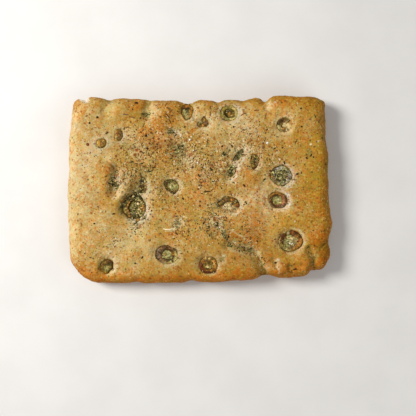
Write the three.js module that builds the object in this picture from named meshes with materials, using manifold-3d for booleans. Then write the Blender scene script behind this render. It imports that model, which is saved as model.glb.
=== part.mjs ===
// Olive and herb focaccia, baked as a slab in a 25 x 18 cm tin and turned out whole.
// Millimetres, +Z up. The origin is the middle of the flat underside. +X runs along the slab's length.
//
// The loaf is one solid: a puffed crust with finger dimples, a pit for each olive slice, a split in the
// south edge, and the larger dried herb flakes and stems fused on. Each olive slice is a solid of its own.
// A height function gives the crust, so that the olive slices and the herbs can be set down on it.

import * as THREE from "three";
import { mergeVertices } from "three/addons/utils/BufferGeometryUtils.js";
import Module from "manifold-3d";

const wasm = await Module();
wasm.setup();

// ---------------------------------------------------------------- driving dimensions

const HALF_LENGTH = 122;
const HALF_WIDTH = 85.5;
const CORNER_RADIUS = { northWest: 7, northEast: 6, southEast: 24, southWest: 27 };

const EDGE_HEIGHT = 28.5; // crust height just inside the rounded rim
const CROWN_RISE = 3.5; // how far the middle has risen above the edges
const WIDEST_HEIGHT = 11; // the sides bulge most at this height
const BASE_INSET = 0.035; // the underside is smaller than the outline by this share
const RIM_START = 0.885; // the crust rolls over from this share of the way out to the edge
const RIM_POWER = 2.3; // roundness of that roll: 2 is an ellipse

const OLIVE_THICKNESS = 4.2;
const OLIVE_EMBED = 2.3; // how deep a slice is pressed into the floor of its pit
const CLEARANCE = 0.35; // gap left between an olive slice and the dough
const TRENCH_HEIGHT = 10; // the cut above a slice, out through the crust
const TRENCH_FLARE = 3.2; // how much wider the outer wall of that cut is at the top
const PIT_MARGIN = 1.6; // the pit is this much larger than its slice
const DENT_MARGIN = 9; // the gentle dent round the pit reaches this much further
const DENT_DEPTH = 2.3;
const PIT_SHARPNESS = 7;
const DENT_SHARPNESS = 3;

const GRID = { along: 48, across: 34, rimRows: 4, wallRows: 2 };
const RING_STEPS = 14;
const DISC_STEPS = 12;

// ---------------------------------------------------------------- what makes this slab's own shape

// Lobes and notches of the outline: a bump or a dent of "out" at (x, y), fading over "wide".
const LOBES = [
  { x: -126, y: -12, out: 3.0, wide: 46 }, // long bow of the west side
  { x: -124, y: -36, out: -1.2, wide: 10 },
  { x: -123, y: 46, out: 1.0, wide: 9 },
  { x: -123, y: 80, out: -1.6, wide: 11 },
  { x: -103, y: 88, out: 2.4, wide: 13 },
  { x: -109, y: 87, out: -2.8, wide: 3.6 }, // torn nick in the north-west lobe
  { x: -86, y: 87, out: -1.2, wide: 5 },
  { x: -68, y: 87, out: 0.7, wide: 18 },
  { x: -11, y: 86, out: -5.0, wide: 6.5 }, // notch above an olive at the edge
  { x: 18, y: 86, out: -2.2, wide: 3.6 },
  { x: 40, y: 86, out: -1.0, wide: 4 },
  { x: 52, y: 87, out: 1.4, wide: 7 },
  { x: 62.5, y: 86, out: -4.2, wide: 4.2 },
  { x: 82, y: 88, out: 4.3, wide: 20 }, // the tall north-east lobe
  { x: 106, y: 88, out: 3.6, wide: 9.5 },
  { x: 122, y: 66, out: -2.9, wide: 30 },
  { x: 122, y: 38, out: 1.4, wide: 12 },
  { x: 123, y: 6, out: 1.3, wide: 16 },
  { x: 124, y: -32, out: 4.9, wide: 12 }, // swelling of the east side
  { x: 123, y: -60, out: 2.8, wide: 9 },
  { x: 95, y: -86, out: -3.0, wide: 24 },
  { x: 64, y: -84, out: -4.6, wide: 9 }, // split in the south edge
  { x: 109, y: -82, out: -4.2, wide: 6.5 }, // dent in the south-east corner
  { x: -45, y: -87, out: 3.4, wide: 64 },
  { x: -91, y: -88, out: 1.2, wide: 13 },
  { x: 16, y: -87, out: 1.4, wide: 13 },
  { x: -8, y: -87, out: -1.8, wide: 6 },
  { x: -59, y: -87, out: -1.8, wide: 5 },
];

// Domes of puffed dough: "rise" at (x, y), fading over "wide".
const DOMES = [
  { x: 98, y: 70, rise: 2.2, wide: 24 },
  { x: 106, y: 8, rise: 1.6, wide: 26 },
  { x: 113, y: -43, rise: 2.2, wide: 12 },
  { x: 115, y: -69, rise: 2.0, wide: 7 },
  { x: 97, y: -74, rise: 1.6, wide: 6 },
  { x: 78, y: -73, rise: 2.4, wide: 7 },
  { x: 96, y: -64, rise: 1.6, wide: 8 },
  { x: -104, y: -20, rise: 1.6, wide: 26 },
  { x: -100, y: -56, rise: 1.8, wide: 18 },
  { x: -106, y: 72, rise: 1.4, wide: 12 },
  { x: -68, y: 70, rise: 2.0, wide: 12 },
  { x: -32, y: 66, rise: 2.4, wide: 13 },
  { x: 7, y: 76, rise: 1.8, wide: 9 },
  { x: -88.5, y: 2.5, rise: 2.2, wide: 8 }, // lumps west of the long pit
  { x: -88, y: 19.5, rise: 2.0, wide: 8 },
  { x: -67.5, y: 2.5, rise: 2.8, wide: 7 }, // ridge between two pits
  { x: -75.5, y: -6, rise: 1.2, wide: 6 },
  { x: -44, y: -14, rise: 2.4, wide: 10 },
  { x: 44, y: 14, rise: 2.4, wide: 12 },
  { x: 4, y: 14, rise: 1.2, wide: 18 },
  { x: 50, y: -34, rise: 1.8, wide: 18 },
  { x: -10, y: -52, rise: 1.6, wide: 12 },
  { x: -56, y: -52, rise: 1.4, wide: 14 },
  { x: 36, y: -74, rise: 1.6, wide: 10 },
];

// Finger dimples and creases: a trough from one point to the next, "wide" to half its depth.
const DIMPLES = [
  { path: [[-77, 18], [-79, 6], [-79, -4]], wide: 4.8, deep: 6.0 }, // long pit in the west
  { path: [[-79, 3], [-70, 9]], wide: 4, deep: 3.6 },
  { path: [[-60, -15], [-54, 1]], wide: 9, deep: 5.0 }, // deep hollow of the largest olive
  { path: [[-55, 3], [-51, 12]], wide: 4, deep: 2.4 },
  { path: [[-47, 84], [-47.5, 68]], wide: 4, deep: 4.4 },
  { path: [[-83, 83], [-88, 71]], wide: 5, deep: 2.6 },
  { path: [[-88, 27], [-85, 33]], wide: 4.5, deep: 2.0 },
  { path: [[-20, 42], [-16, 30]], wide: 7.5, deep: 3.8 }, // herb hollow
  { path: [[-26, 54], [-13, 53]], wide: 3.4, deep: 2.2 },
  { path: [[-33, -33], [-20, -30]], wide: 6, deep: 2.6 },
  { path: [[38, 37], [27, 10]], wide: 5, deep: 4.8 }, // diagonal crease with two olives
  { path: [[25, 34], [30, 40]], wide: 3, deep: 2.0 },
  { path: [[21, 71], [20, 76]], wide: 4, deep: 2.4 },
  { path: [[62, 84], [63, 76]], wide: 3.4, deep: 2.6 },
  { path: [[10, -30], [17, -42]], wide: 5, deep: 2.8 },
  { path: [[17, -42], [27, -52]], wide: 4.5, deep: 2.6 },
  { path: [[27, -52], [43, -55.5], [50.5, -59.5]], wide: 4.6, deep: 4.6 }, // crease to the split
  { path: [[50.5, -59.5], [59, -72], [61, -84]], wide: 4.6, deep: 4.6 },
  { path: [[64, 43], [68, 37]], wide: 7, deep: 2.2 },
  { path: [[21, -62], [20, -67]], wide: 3, deep: 3.0 },
  { path: [[102, -56], [108, -65], [108, -80]], wide: 4, deep: 4.4 }, // crease round the corner lump
  { path: [[84, -72], [94, -72.5]], wide: 2.8, deep: 2.8 },
  { path: [[69.5, -66], [72, -71]], wide: 2.8, deep: 3.2 },
  { path: [[116, -54], [110, -56]], wide: 4.5, deep: 2.0 },
  { path: [[-98, -66], [-70, -58]], wide: 5, deep: 1.2 },
];

// Olive slices: centre (x, y), half sizes (long, short), "turn" of the long one in degrees, the share of
// the slice that is hole, and how deep its pit is. A slice with "from" and "sweep" is a broken ring.
const OLIVES = [
  { x: 28.0, y: 70.8, long: 8.3, short: 7.7, turn: 0, hole: 0.5, pit: 3.8 },
  { x: -10.8, y: 71.6, long: 7.3, short: 5.6, turn: 84, hole: 0.42, pit: 4.6 },
  { x: 4.0, y: 61.3, long: 5.4, short: 4.8, turn: 20, hole: 0.24, pit: 3.8, from: 150, sweep: 300 },
  { x: 79.5, y: 60.2, long: 7.2, short: 6.8, turn: 0, hole: 0.4, pit: 4.4, from: 42, sweep: 262 },
  { x: -74.9, y: 50.4, long: 6.2, short: 3.8, turn: 86, hole: 0.36, pit: 3.4 },
  { x: -91.1, y: 43.0, long: 5.2, short: 4.9, turn: 20, hole: 0, pit: 3.0 },
  { x: 36.5, y: 31.4, long: 6.2, short: 3.0, turn: 58, hole: 0, pit: 3.6 },
  { x: 29.9, y: 17.2, long: 5.6, short: 4.1, turn: 72, hole: 0.36, pit: 3.6 },
  { x: 51.8, y: 26.2, long: 7.2, short: 4.0, turn: 76, hole: 0, pit: 4.2 },
  { x: 76.2, y: 12.7, long: 10.0, short: 9.5, turn: 0, hole: 0.42, pit: 4.2 },
  { x: 72.9, y: -10.2, long: 9.5, short: 7.7, turn: -4, hole: 0.5, pit: 4.4 },
  { x: 85.0, y: -48.1, long: 11.4, short: 9.9, turn: 8, hole: 0.52, pit: 4.6, from: 112, sweep: 326 },
  { x: -25.4, y: 3.0, long: 7.0, short: 6.0, turn: -24, hole: 0.52, pit: 4.4 },
  { x: -60.7, y: -16.4, long: 11.4, short: 10.8, turn: 60, hole: 0.46, pit: 6.8 },
  { x: -52.4, y: 0.4, long: 4.2, short: 3.9, turn: 0, hole: 0.3, pit: 5.6 },
  { x: -30.0, y: -60.7, long: 10.7, short: 8.8, turn: -8, hole: 0.47, pit: 4.2 },
  { x: 8.6, y: -70.4, long: 8.7, short: 8.3, turn: 0, hole: 0.5, pit: 4.6 },
  { x: -85.9, y: -71.6, long: 7.0, short: 6.0, turn: 58, hole: 0, pit: 5.4 },
  { x: 27.6, y: -14.6, long: 10.2, short: 8.0, turn: -6, hole: 0.4, pit: 4.2, from: -12, sweep: 204 },
];

// Where dried herbs lie thickest: the chance of a flake at (x, y), fading over "wide".
const HERB_PATCHES = [
  { x: -22, y: 36, share: 1.0, wide: 32 },
  { x: -60, y: -4, share: 0.9, wide: 22 },
  { x: 20, y: 22, share: 0.8, wide: 34 },
  { x: 14, y: -36, share: 0.7, wide: 26 },
  { x: 62, y: 26, share: 0.6, wide: 30 },
  { x: -30, y: 62, share: 0.5, wide: 26 },
];
const HERB_ELSEWHERE = 0.12;
const HERB_FLAKES = 60;
const FLAKE = { long: 1.9, wide: 1.15, thick: 0.75, smallest: 0.75 };
const FLAKE_MARGIN = 4.2; // flakes stay this far outside an olive's pit
const STEMS = [
  { x: -25, y: -37.5, turn: -8, long: 9.5 },
  { x: -66, y: 57, turn: -10, long: 6 },
  { x: -27, y: 62.5, turn: -62, long: 5.5 },
  { x: -21, y: 50.5, turn: 40, long: 5 },
  { x: 47, y: 44, turn: 34, long: 6 },
  { x: 60, y: -38.5, turn: -14, long: 5 },
];
const STEM_RADIUS = 0.55;
const SEED = 20617;

// ---------------------------------------------------------------- small helpers

const radians = THREE.MathUtils.degToRad;
const clamp01 = (t) => Math.min(1, Math.max(0, t));

// Seeded random numbers from 0 to 1 (mulberry32).
function randomFrom(seed) {
  let state = seed;
  return () => {
    state = (state + 0x6d2b79f5) | 0;
    let t = Math.imul(state ^ (state >>> 15), 1 | state);
    t = (t + Math.imul(t ^ (t >>> 7), 61 | t)) ^ t;
    return ((t ^ (t >>> 14)) >>> 0) / 4294967296;
  };
}

function fadeAround(x, y, spot) {
  const far2 = (x - spot.x) ** 2 + (y - spot.y) ** 2;
  return Math.exp(-far2 / spot.wide ** 2);
}

function distanceToPath(x, y, path) {
  let nearest = Infinity;
  for (let i = 0; i + 1 < path.length; i++) {
    const [ax, ay] = path[i];
    const [bx, by] = path[i + 1];
    const dx = bx - ax;
    const dy = by - ay;
    const t = clamp01(((x - ax) * dx + (y - ay) * dy) / (dx * dx + dy * dy));
    nearest = Math.min(nearest, Math.hypot(x - ax - t * dx, y - ay - t * dy));
  }
  return nearest;
}

// Distance from an olive's centre in units of its half sizes, each grown by a margin.
function distanceFromOlive(x, y, olive, margin) {
  const turn = radians(olive.turn);
  const along = (x - olive.x) * Math.cos(turn) + (y - olive.y) * Math.sin(turn);
  const across = (y - olive.y) * Math.cos(turn) - (x - olive.x) * Math.sin(turn);
  return Math.hypot(along / (olive.long + margin), across / (olive.short + margin));
}

// ---------------------------------------------------------------- outline

// A point of the outline for (a, b) on the edge of the square from -1 to 1.
function outlinePoint(a, b) {
  let x = a * HALF_LENGTH;
  let y = b * HALF_WIDTH;
  let nx = Math.abs(a) >= Math.abs(b) ? Math.sign(a) : 0;
  let ny = nx === 0 ? Math.sign(b) : 0;
  const ends = x < 0 ? "West" : "East";
  const radius = CORNER_RADIUS[(y < 0 ? "south" : "north") + ends];
  const overX = Math.abs(x) - (HALF_LENGTH - radius);
  const overY = Math.abs(y) - (HALF_WIDTH - radius);
  if (overX > 0 && overY > 0) {
    const far = Math.hypot(overX, overY);
    nx = (Math.sign(x) * overX) / far;
    ny = (Math.sign(y) * overY) / far;
    x = Math.sign(x) * (HALF_LENGTH - radius) + nx * radius;
    y = Math.sign(y) * (HALF_WIDTH - radius) + ny * radius;
  }
  let out = 0;
  for (const lobe of LOBES) out += lobe.out * fadeAround(x, y, lobe);
  return [x + nx * out, y + ny * out];
}

// The outline's distance from the origin at each of many angles, and its centre.
const OUTLINE_SAMPLES = 720;
const outline = [];
for (let i = 0; i < OUTLINE_SAMPLES; i++) {
  const angle = (i / OUTLINE_SAMPLES) * 2 * Math.PI;
  const reach = Math.max(Math.abs(Math.cos(angle)), Math.abs(Math.sin(angle)));
  outline.push(outlinePoint(Math.cos(angle) / reach, Math.sin(angle) / reach));
}
const outlineAngles = outline.map(([x, y]) => (Math.atan2(y, x) + 2 * Math.PI) % (2 * Math.PI));
const outlineOrder = outline.map((_, i) => i).sort((i, j) => outlineAngles[i] - outlineAngles[j]);

function outlineRadius(angle) {
  const wanted = (angle + 2 * Math.PI) % (2 * Math.PI);
  let low = 0;
  let high = OUTLINE_SAMPLES - 1;
  while (high - low > 1) {
    const middle = (low + high) >> 1;
    if (outlineAngles[outlineOrder[middle]] <= wanted) low = middle;
    else high = middle;
  }
  const [i, j] = [outlineOrder[low], outlineOrder[high]];
  const span = outlineAngles[j] - outlineAngles[i];
  const t = span > 0 ? clamp01((wanted - outlineAngles[i]) / span) : 0;
  return (1 - t) * Math.hypot(...outline[i]) + t * Math.hypot(...outline[j]);
}

const shareOfTheWayOut = (x, y) => Math.hypot(x, y) / outlineRadius(Math.atan2(y, x));

// ---------------------------------------------------------------- crust height

function puffedHeight(x, y) {
  const crown = (1 - (x / HALF_LENGTH) ** 2) * (1 - (y / HALF_WIDTH) ** 2);
  let height = EDGE_HEIGHT + CROWN_RISE * Math.max(0, crown);
  for (const dome of DOMES) height += dome.rise * fadeAround(x, y, dome);
  return height;
}

// Overlapping hollows join smoothly: the deepest wins, and two alike add a little.
function hollowDepth(x, y) {
  let sum = 0;
  const dig = (depth, reach, sharpness) => {
    sum += (depth / (1 + reach ** sharpness)) ** 3;
  };
  for (const dimple of DIMPLES) {
    dig(dimple.deep, distanceToPath(x, y, dimple.path) / dimple.wide, DENT_SHARPNESS);
  }
  for (const olive of OLIVES) {
    dig(DENT_DEPTH, distanceFromOlive(x, y, olive, DENT_MARGIN), DENT_SHARPNESS);
    dig(olive.pit, distanceFromOlive(x, y, olive, PIT_MARGIN), PIT_SHARPNESS);
  }
  return Math.cbrt(sum);
}

// Rolls the crust over at the rim, down to the height where the slab is widest.
function rolledOver(height, share) {
  const out = clamp01((share - RIM_START) / (1 - RIM_START));
  return WIDEST_HEIGHT + (height - WIDEST_HEIGHT) * (1 - out ** RIM_POWER) ** (1 / RIM_POWER);
}

function crustHeight(x, y, share = shareOfTheWayOut(x, y)) {
  return rolledOver(puffedHeight(x, y) - hollowDepth(x, y), share);
}

// ---------------------------------------------------------------- the slab

// Grid lines from -1 to 1: even between the rims, closer where the crust rolls over.
function gridLines(cells) {
  const lines = [];
  for (let row = GRID.rimRows; row >= 1; row--) {
    lines.push(-RIM_START - (1 - RIM_START) * Math.sin(((row / GRID.rimRows) * Math.PI) / 2));
  }
  for (let i = 0; i <= cells; i++) lines.push(RIM_START * ((2 * i) / cells - 1));
  for (let row = 1; row <= GRID.rimRows; row++) {
    lines.push(RIM_START + (1 - RIM_START) * Math.sin(((row / GRID.rimRows) * Math.PI) / 2));
  }
  return lines;
}

function slabGeometry() {
  const columns = gridLines(GRID.along);
  const rows = gridLines(GRID.across);
  const points = [];
  const faces = [];
  const topVertex = (i, j) => j * columns.length + i;
  const height = (vertex) => points[3 * vertex + 2];
  for (const b of rows) {
    for (const a of columns) {
      const share = Math.max(Math.abs(a), Math.abs(b));
      const [x, y] = share > 0 ? outlinePoint(a / share, b / share) : [0, 0];
      points.push(x * share, y * share, crustHeight(x * share, y * share, Math.min(share, 1)));
    }
  }
  for (let j = 0; j + 1 < rows.length; j++) {
    for (let i = 0; i + 1 < columns.length; i++) {
      const [p, q] = [topVertex(i, j), topVertex(i + 1, j)];
      const [r, s] = [topVertex(i + 1, j + 1), topVertex(i, j + 1)];
      // The corners nearer in height are joined, so that creases run along the faces' edges.
      if (Math.abs(height(p) - height(r)) < Math.abs(height(q) - height(s))) faces.push(p, q, r, p, r, s);
      else faces.push(p, q, s, q, r, s);
    }
  }
  // The edge of the top, anticlockwise from the south-west corner.
  const edge = [];
  for (let i = 0; i + 1 < columns.length; i++) edge.push(topVertex(i, 0));
  for (let j = 0; j + 1 < rows.length; j++) edge.push(topVertex(columns.length - 1, j));
  for (let i = columns.length - 1; i > 0; i--) edge.push(topVertex(i, rows.length - 1));
  for (let j = rows.length - 1; j > 0; j--) edge.push(topVertex(0, j));
  // The wall curls in under the widest line, down to the flat underside.
  let above = edge;
  for (let row = 1; row <= GRID.wallRows; row++) {
    const turn = ((row / GRID.wallRows) * Math.PI) / 2;
    const share = 1 - BASE_INSET * (1 - Math.cos(turn));
    const below = edge.map((v) => {
      points.push(points[3 * v] * share, points[3 * v + 1] * share, WIDEST_HEIGHT * (1 - Math.sin(turn)));
      return points.length / 3 - 1;
    });
    for (let k = 0; k < edge.length; k++) {
      const next = (k + 1) % edge.length;
      faces.push(above[k], below[k], below[next], above[k], below[next], above[next]);
    }
    above = below;
  }
  points.push(0, 0, 0);
  const middle = points.length / 3 - 1;
  for (let k = 0; k < above.length; k++) faces.push(above[(k + 1) % above.length], above[k], middle);
  return new THREE.BufferGeometry()
    .setAttribute("position", new THREE.Float32BufferAttribute(points, 3))
    .setIndex(faces);
}

// ---------------------------------------------------------------- olive slices

// Half the width of the flesh of a ring, and small unevenness that its pit shares.
const fleshHalfWidth = (olive) => (Math.min(olive.long, olive.short) * (1 - olive.hole)) / 2;
function uneven(angle, olive) {
  return 1 + 0.07 * Math.sin(3 * angle + olive.x) + 0.05 * Math.sin(5 * angle + olive.y);
}

// A loop of [out, up] points swept round a whole or a broken ring, each scaled by the ring's unevenness.
function sweptRing(olive, section, endReach) {
  const half = fleshHalfWidth(olive);
  const whole = olive.sweep === undefined;
  const extra = whole ? 0 : endReach / olive.long;
  const start = radians(olive.from ?? 0) - extra;
  const sweep = whole ? 2 * Math.PI : radians(olive.sweep) + 2 * extra;
  const steps = whole ? RING_STEPS : Math.max(6, Math.round((RING_STEPS * sweep) / (2 * Math.PI)));
  const rings = whole ? steps : steps + 1;
  const points = [];
  const faces = [];
  for (let i = 0; i < rings; i++) {
    const angle = start + (sweep * i) / steps;
    const normal = new THREE.Vector2(Math.cos(angle) * olive.short, Math.sin(angle) * olive.long).normalize();
    const scale = uneven(angle, olive);
    for (const [out, up] of section) {
      const x = (olive.long - half) * Math.cos(angle) + normal.x * out * scale;
      const y = (olive.short - half) * Math.sin(angle) + normal.y * out * scale;
      points.push(x, y, up);
    }
  }
  const n = section.length;
  for (let i = 0; i < steps; i++) {
    const [p, q] = [i * n, ((i + 1) % rings) * n];
    for (let k = 0; k < n; k++) {
      const next = (k + 1) % n;
      faces.push(p + k, q + k, q + next, p + k, q + next, p + next);
    }
  }
  if (!whole) {
    for (let k = 1; k + 1 < n; k++) {
      const last = (rings - 1) * n;
      faces.push(0, k, k + 1, last, last + k + 1, last + k);
    }
  }
  return new THREE.BufferGeometry()
    .setAttribute("position", new THREE.Float32BufferAttribute(points, 3))
    .setIndex(faces);
}

// A profile of [out, up] points turned about the slice's axis, for a slice cut where there is no hole.
function turnedDisc(olive, profile) {
  const disc = new THREE.LatheGeometry(
    profile.map(([out, up]) => new THREE.Vector2(out, up)),
    DISC_STEPS,
  );
  disc.rotateX(Math.PI / 2);
  disc.scale(olive.long, olive.short, 1);
  return disc;
}

function oliveGeometry(olive) {
  const half = fleshHalfWidth(olive);
  const up = OLIVE_THICKNESS / 2;
  if (olive.hole === 0) {
    const profile = [[0, -up], [0.72, -up], [0.97, -0.3 * up], [0.94, 0.5 * up], [0.7, up], [0, 0.8 * up]];
    return turnedDisc(olive, profile);
  }
  const section = [[-0.6 * half, -up], [0.6 * half, -up], [half, -0.2 * up]];
  section.push([0.6 * half, up], [-0.5 * half, 0.9 * up], [-half, 0]);
  return sweptRing(olive, section, 0);
}

// What has to be free of dough for the slice: its own space with clearance, open to the air above.
function trenchGeometry(olive) {
  const half = fleshHalfWidth(olive) + CLEARANCE;
  const up = OLIVE_THICKNESS / 2 + CLEARANCE;
  const flare = half + TRENCH_FLARE;
  if (olive.hole === 0) {
    const wide = 1 + (1.6 * CLEARANCE) / olive.short;
    const wider = wide + TRENCH_FLARE / olive.short;
    const profile = [[0, -up], [0.8 * wide, -up], [wide, -0.3 * up], [wide, up], [wider, TRENCH_HEIGHT]];
    return turnedDisc(olive, [...profile, [0, TRENCH_HEIGHT]]);
  }
  const section = [[-half, -up], [half, -up], [flare, TRENCH_HEIGHT], [-half, TRENCH_HEIGHT]];
  return sweptRing(olive, section, 2 * CLEARANCE);
}

// An olive slice as a mesh, lying on the floor of its pit and leaning with the crust around it.
function oliveMesh(olive, name, material) {
  const mesh = new THREE.Mesh(oliveGeometry(olive), material);
  mesh.name = name;
  const step = 6;
  const crust = (x, y) => rolledOver(puffedHeight(x, y), shareOfTheWayOut(x, y));
  const slopeX = (crust(olive.x + step, olive.y) - crust(olive.x - step, olive.y)) / (2 * step);
  const slopeY = (crust(olive.x, olive.y + step) - crust(olive.x, olive.y - step)) / (2 * step);
  const leaning = 0.8;
  const up = new THREE.Vector3(-slopeX * leaning, -slopeY * leaning, 1).normalize();
  const lean = new THREE.Quaternion().setFromUnitVectors(new THREE.Vector3(0, 0, 1), up);
  const turn = new THREE.Quaternion().setFromAxisAngle(new THREE.Vector3(0, 0, 1), radians(olive.turn));
  mesh.quaternion.copy(lean.multiply(turn));
  const floor = crustHeight(olive.x, olive.y);
  mesh.position.set(olive.x, olive.y, floor - OLIVE_EMBED + OLIVE_THICKNESS / 2);
  mesh.updateMatrix();
  return mesh;
}

// ---------------------------------------------------------------- herbs on the crust

function herbShare(x, y) {
  let share = HERB_ELSEWHERE;
  for (const patch of HERB_PATCHES) share = Math.max(share, patch.share * fadeAround(x, y, patch));
  return share;
}

const clearOfOlives = (x, y) => OLIVES.every((olive) => distanceFromOlive(x, y, olive, FLAKE_MARGIN) > 1);

// Placed on the crust at (x, y): half in it, turned and tilted.
function onCrust(x, y, turn, tilt) {
  const matrix = new THREE.Matrix4().makeRotationFromEuler(new THREE.Euler(tilt, tilt / 2, turn, "ZYX"));
  return matrix.setPosition(x, y, crustHeight(x, y));
}

function herbFlakes() {
  const random = randomFrom(SEED);
  const flakes = [];
  while (flakes.length < HERB_FLAKES) {
    const x = (2 * random() - 1) * HALF_LENGTH * 0.86;
    const y = (2 * random() - 1) * HALF_WIDTH * 0.84;
    const [chance, size, turn, tilt] = [random(), random(), random(), random()];
    if (chance > herbShare(x, y) || !clearOfOlives(x, y)) continue;
    const scale = FLAKE.smallest + (1 - FLAKE.smallest) * 2 * size;
    const flake = new THREE.OctahedronGeometry(1);
    flake.scale(FLAKE.long * scale, FLAKE.wide * scale, FLAKE.thick * scale);
    flakes.push(flake.applyMatrix4(onCrust(x, y, turn * Math.PI, (tilt - 0.5) * 0.7)));
  }
  return flakes;
}

function herbStems() {
  return STEMS.map((stem) => {
    const stick = new THREE.CylinderGeometry(STEM_RADIUS * 0.8, STEM_RADIUS, stem.long, 5);
    stick.rotateZ(Math.PI / 2);
    return stick.applyMatrix4(onCrust(stem.x, stem.y, radians(stem.turn), 0));
  });
}

// ---------------------------------------------------------------- joining and cutting

function solidFrom(geometry) {
  const bare = geometry.clone();
  bare.deleteAttribute("normal");
  bare.deleteAttribute("uv");
  const merged = mergeVertices(bare, 1e-4);
  return new wasm.Manifold(
    new wasm.Mesh({
      numProp: 3,
      vertProperties: new Float32Array(merged.attributes.position.array),
      triVerts: new Uint32Array(merged.index.array),
    }),
  );
}

function geometryFrom(solid) {
  const mesh = solid.getMesh();
  const geometry = new THREE.BufferGeometry()
    .setAttribute("position", new THREE.BufferAttribute(new Float32Array(mesh.vertProperties), 3))
    .setIndex(new THREE.BufferAttribute(new Uint32Array(mesh.triVerts), 1));
  geometry.computeVertexNormals();
  return geometry;
}

const crustMaterial = new THREE.MeshStandardMaterial({ color: 0xc59a5b, roughness: 0.85, metalness: 0 });
const oliveMaterials = [0x7d6a3a, 0x6d5a45, 0x85603a].map(
  (color) => new THREE.MeshStandardMaterial({ color, roughness: 0.45, metalness: 0 }),
);

const focaccia = new THREE.Group();
const olives = OLIVES.map((olive, i) => {
  const name = "olive_" + String(i + 1).padStart(2, "0");
  return oliveMesh(olive, name, oliveMaterials[i % oliveMaterials.length]);
});
let loaf = solidFrom(slabGeometry());
for (const herb of [...herbFlakes(), ...herbStems()]) loaf = loaf.add(solidFrom(herb));
olives.forEach((mesh, i) => {
  loaf = loaf.subtract(solidFrom(trenchGeometry(OLIVES[i]).applyMatrix4(mesh.matrix)));
});
// A flake that missed the faceted crust, or was cut loose by a pit, is dropped.
const [whole] = loaf.decompose().sort((a, b) => b.volume() - a.volume());
const bread = new THREE.Mesh(geometryFrom(whole), crustMaterial);
bread.name = "bread";
focaccia.add(bread, ...olives);

// The outline's lobes are uneven, so the group is moved to put the middle of its box at the origin.
const box = new THREE.Box3().setFromObject(bread);
focaccia.position.set(-(box.min.x + box.max.x) / 2, -(box.min.y + box.max.y) / 2, 0);

export default focaccia;
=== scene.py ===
"""Looks of an olive and herb focaccia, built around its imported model.

Shapes are worked out in millimetres in the loaf's own plan (x along the slab, y across it), by the same
height function as the solid, and turned into metres when a mesh is made. The crust, each olive slice, the
dried herbs, the stems, the flecks and the salt are pieces of their own.
"""

import math

import bpy
import numpy as np
from mathutils import Matrix, Vector
from mathutils.bvhtree import BVHTree


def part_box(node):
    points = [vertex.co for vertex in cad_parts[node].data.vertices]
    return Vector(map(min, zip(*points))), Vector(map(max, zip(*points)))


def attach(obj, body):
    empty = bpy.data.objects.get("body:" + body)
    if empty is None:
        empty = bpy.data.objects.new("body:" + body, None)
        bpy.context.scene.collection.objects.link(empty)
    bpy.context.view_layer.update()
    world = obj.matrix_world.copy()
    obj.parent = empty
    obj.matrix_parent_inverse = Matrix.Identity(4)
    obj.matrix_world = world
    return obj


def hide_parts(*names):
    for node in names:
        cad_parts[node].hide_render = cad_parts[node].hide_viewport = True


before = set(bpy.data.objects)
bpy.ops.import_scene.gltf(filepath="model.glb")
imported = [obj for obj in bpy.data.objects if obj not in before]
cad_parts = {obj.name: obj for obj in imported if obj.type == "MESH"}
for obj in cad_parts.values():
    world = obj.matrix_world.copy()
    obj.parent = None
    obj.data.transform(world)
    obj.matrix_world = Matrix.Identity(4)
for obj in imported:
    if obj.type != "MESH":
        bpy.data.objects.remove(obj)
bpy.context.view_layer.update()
MM = 0.001

# ------------------------------------------------------------------ driving dimensions, as in the solid

HALF_LENGTH = 122
HALF_WIDTH = 85.5
CORNER_RADIUS = {"NW": 7, "NE": 6, "SE": 24, "SW": 27}
EDGE_HEIGHT = 28.5
CROWN_RISE = 3.5
WIDEST_HEIGHT = 11
BASE_INSET = 0.035
RIM_START = 0.885
RIM_POWER = 2.3
OLIVE_THICKNESS = 4.2
OLIVE_EMBED = 2.3
PIT_MARGIN = 1.6
DENT_MARGIN = 9
DENT_DEPTH = 2.3
PIT_SHARPNESS = 7
DENT_SHARPNESS = 3

# Lobes and notches of the outline: x, y, how far out, and the distance it fades over.
LOBES = [
    (-126, -12, 3, 46), (-124, -36, -1.2, 10), (-123, 46, 1, 9), (-123, 80, -1.6, 11), (-103, 88, 2.4, 13),
    (-109, 87, -2.8, 3.6), (-86, 87, -1.2, 5), (-68, 87, 0.7, 18), (-11, 86, -5, 6.5), (18, 86, -2.2, 3.6),
    (40, 86, -1, 4), (52, 87, 1.4, 7), (62.5, 86, -4.2, 4.2), (82, 88, 4.3, 20), (106, 88, 3.6, 9.5),
    (122, 66, -2.9, 30), (122, 38, 1.4, 12), (123, 6, 1.3, 16), (124, -32, 4.9, 12), (123, -60, 2.8, 9),
    (95, -86, -3, 24), (64, -84, -4.6, 9), (109, -82, -4.2, 6.5), (-45, -87, 3.4, 64), (-91, -88, 1.2, 13),
    (16, -87, 1.4, 13), (-8, -87, -1.8, 6), (-59, -87, -1.8, 5),
]

# Domes of puffed dough: x, y, rise, and the distance it fades over.
DOMES = [
    (98, 70, 2.2, 24), (106, 8, 1.6, 26), (113, -43, 2.2, 12), (115, -69, 2, 7), (97, -74, 1.6, 6),
    (78, -73, 2.4, 7), (96, -64, 1.6, 8), (-104, -20, 1.6, 26), (-100, -56, 1.8, 18), (-106, 72, 1.4, 12),
    (-68, 70, 2, 12), (-32, 66, 2.4, 13), (7, 76, 1.8, 9), (-88.5, 2.5, 2.2, 8), (-88, 19.5, 2, 8),
    (-67.5, 2.5, 2.8, 7), (-75.5, -6, 1.2, 6), (-44, -14, 2.4, 10), (44, 14, 2.4, 12), (4, 14, 1.2, 18),
    (50, -34, 1.8, 18), (-10, -52, 1.6, 12), (-56, -52, 1.4, 14), (36, -74, 1.6, 10),
]

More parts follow.
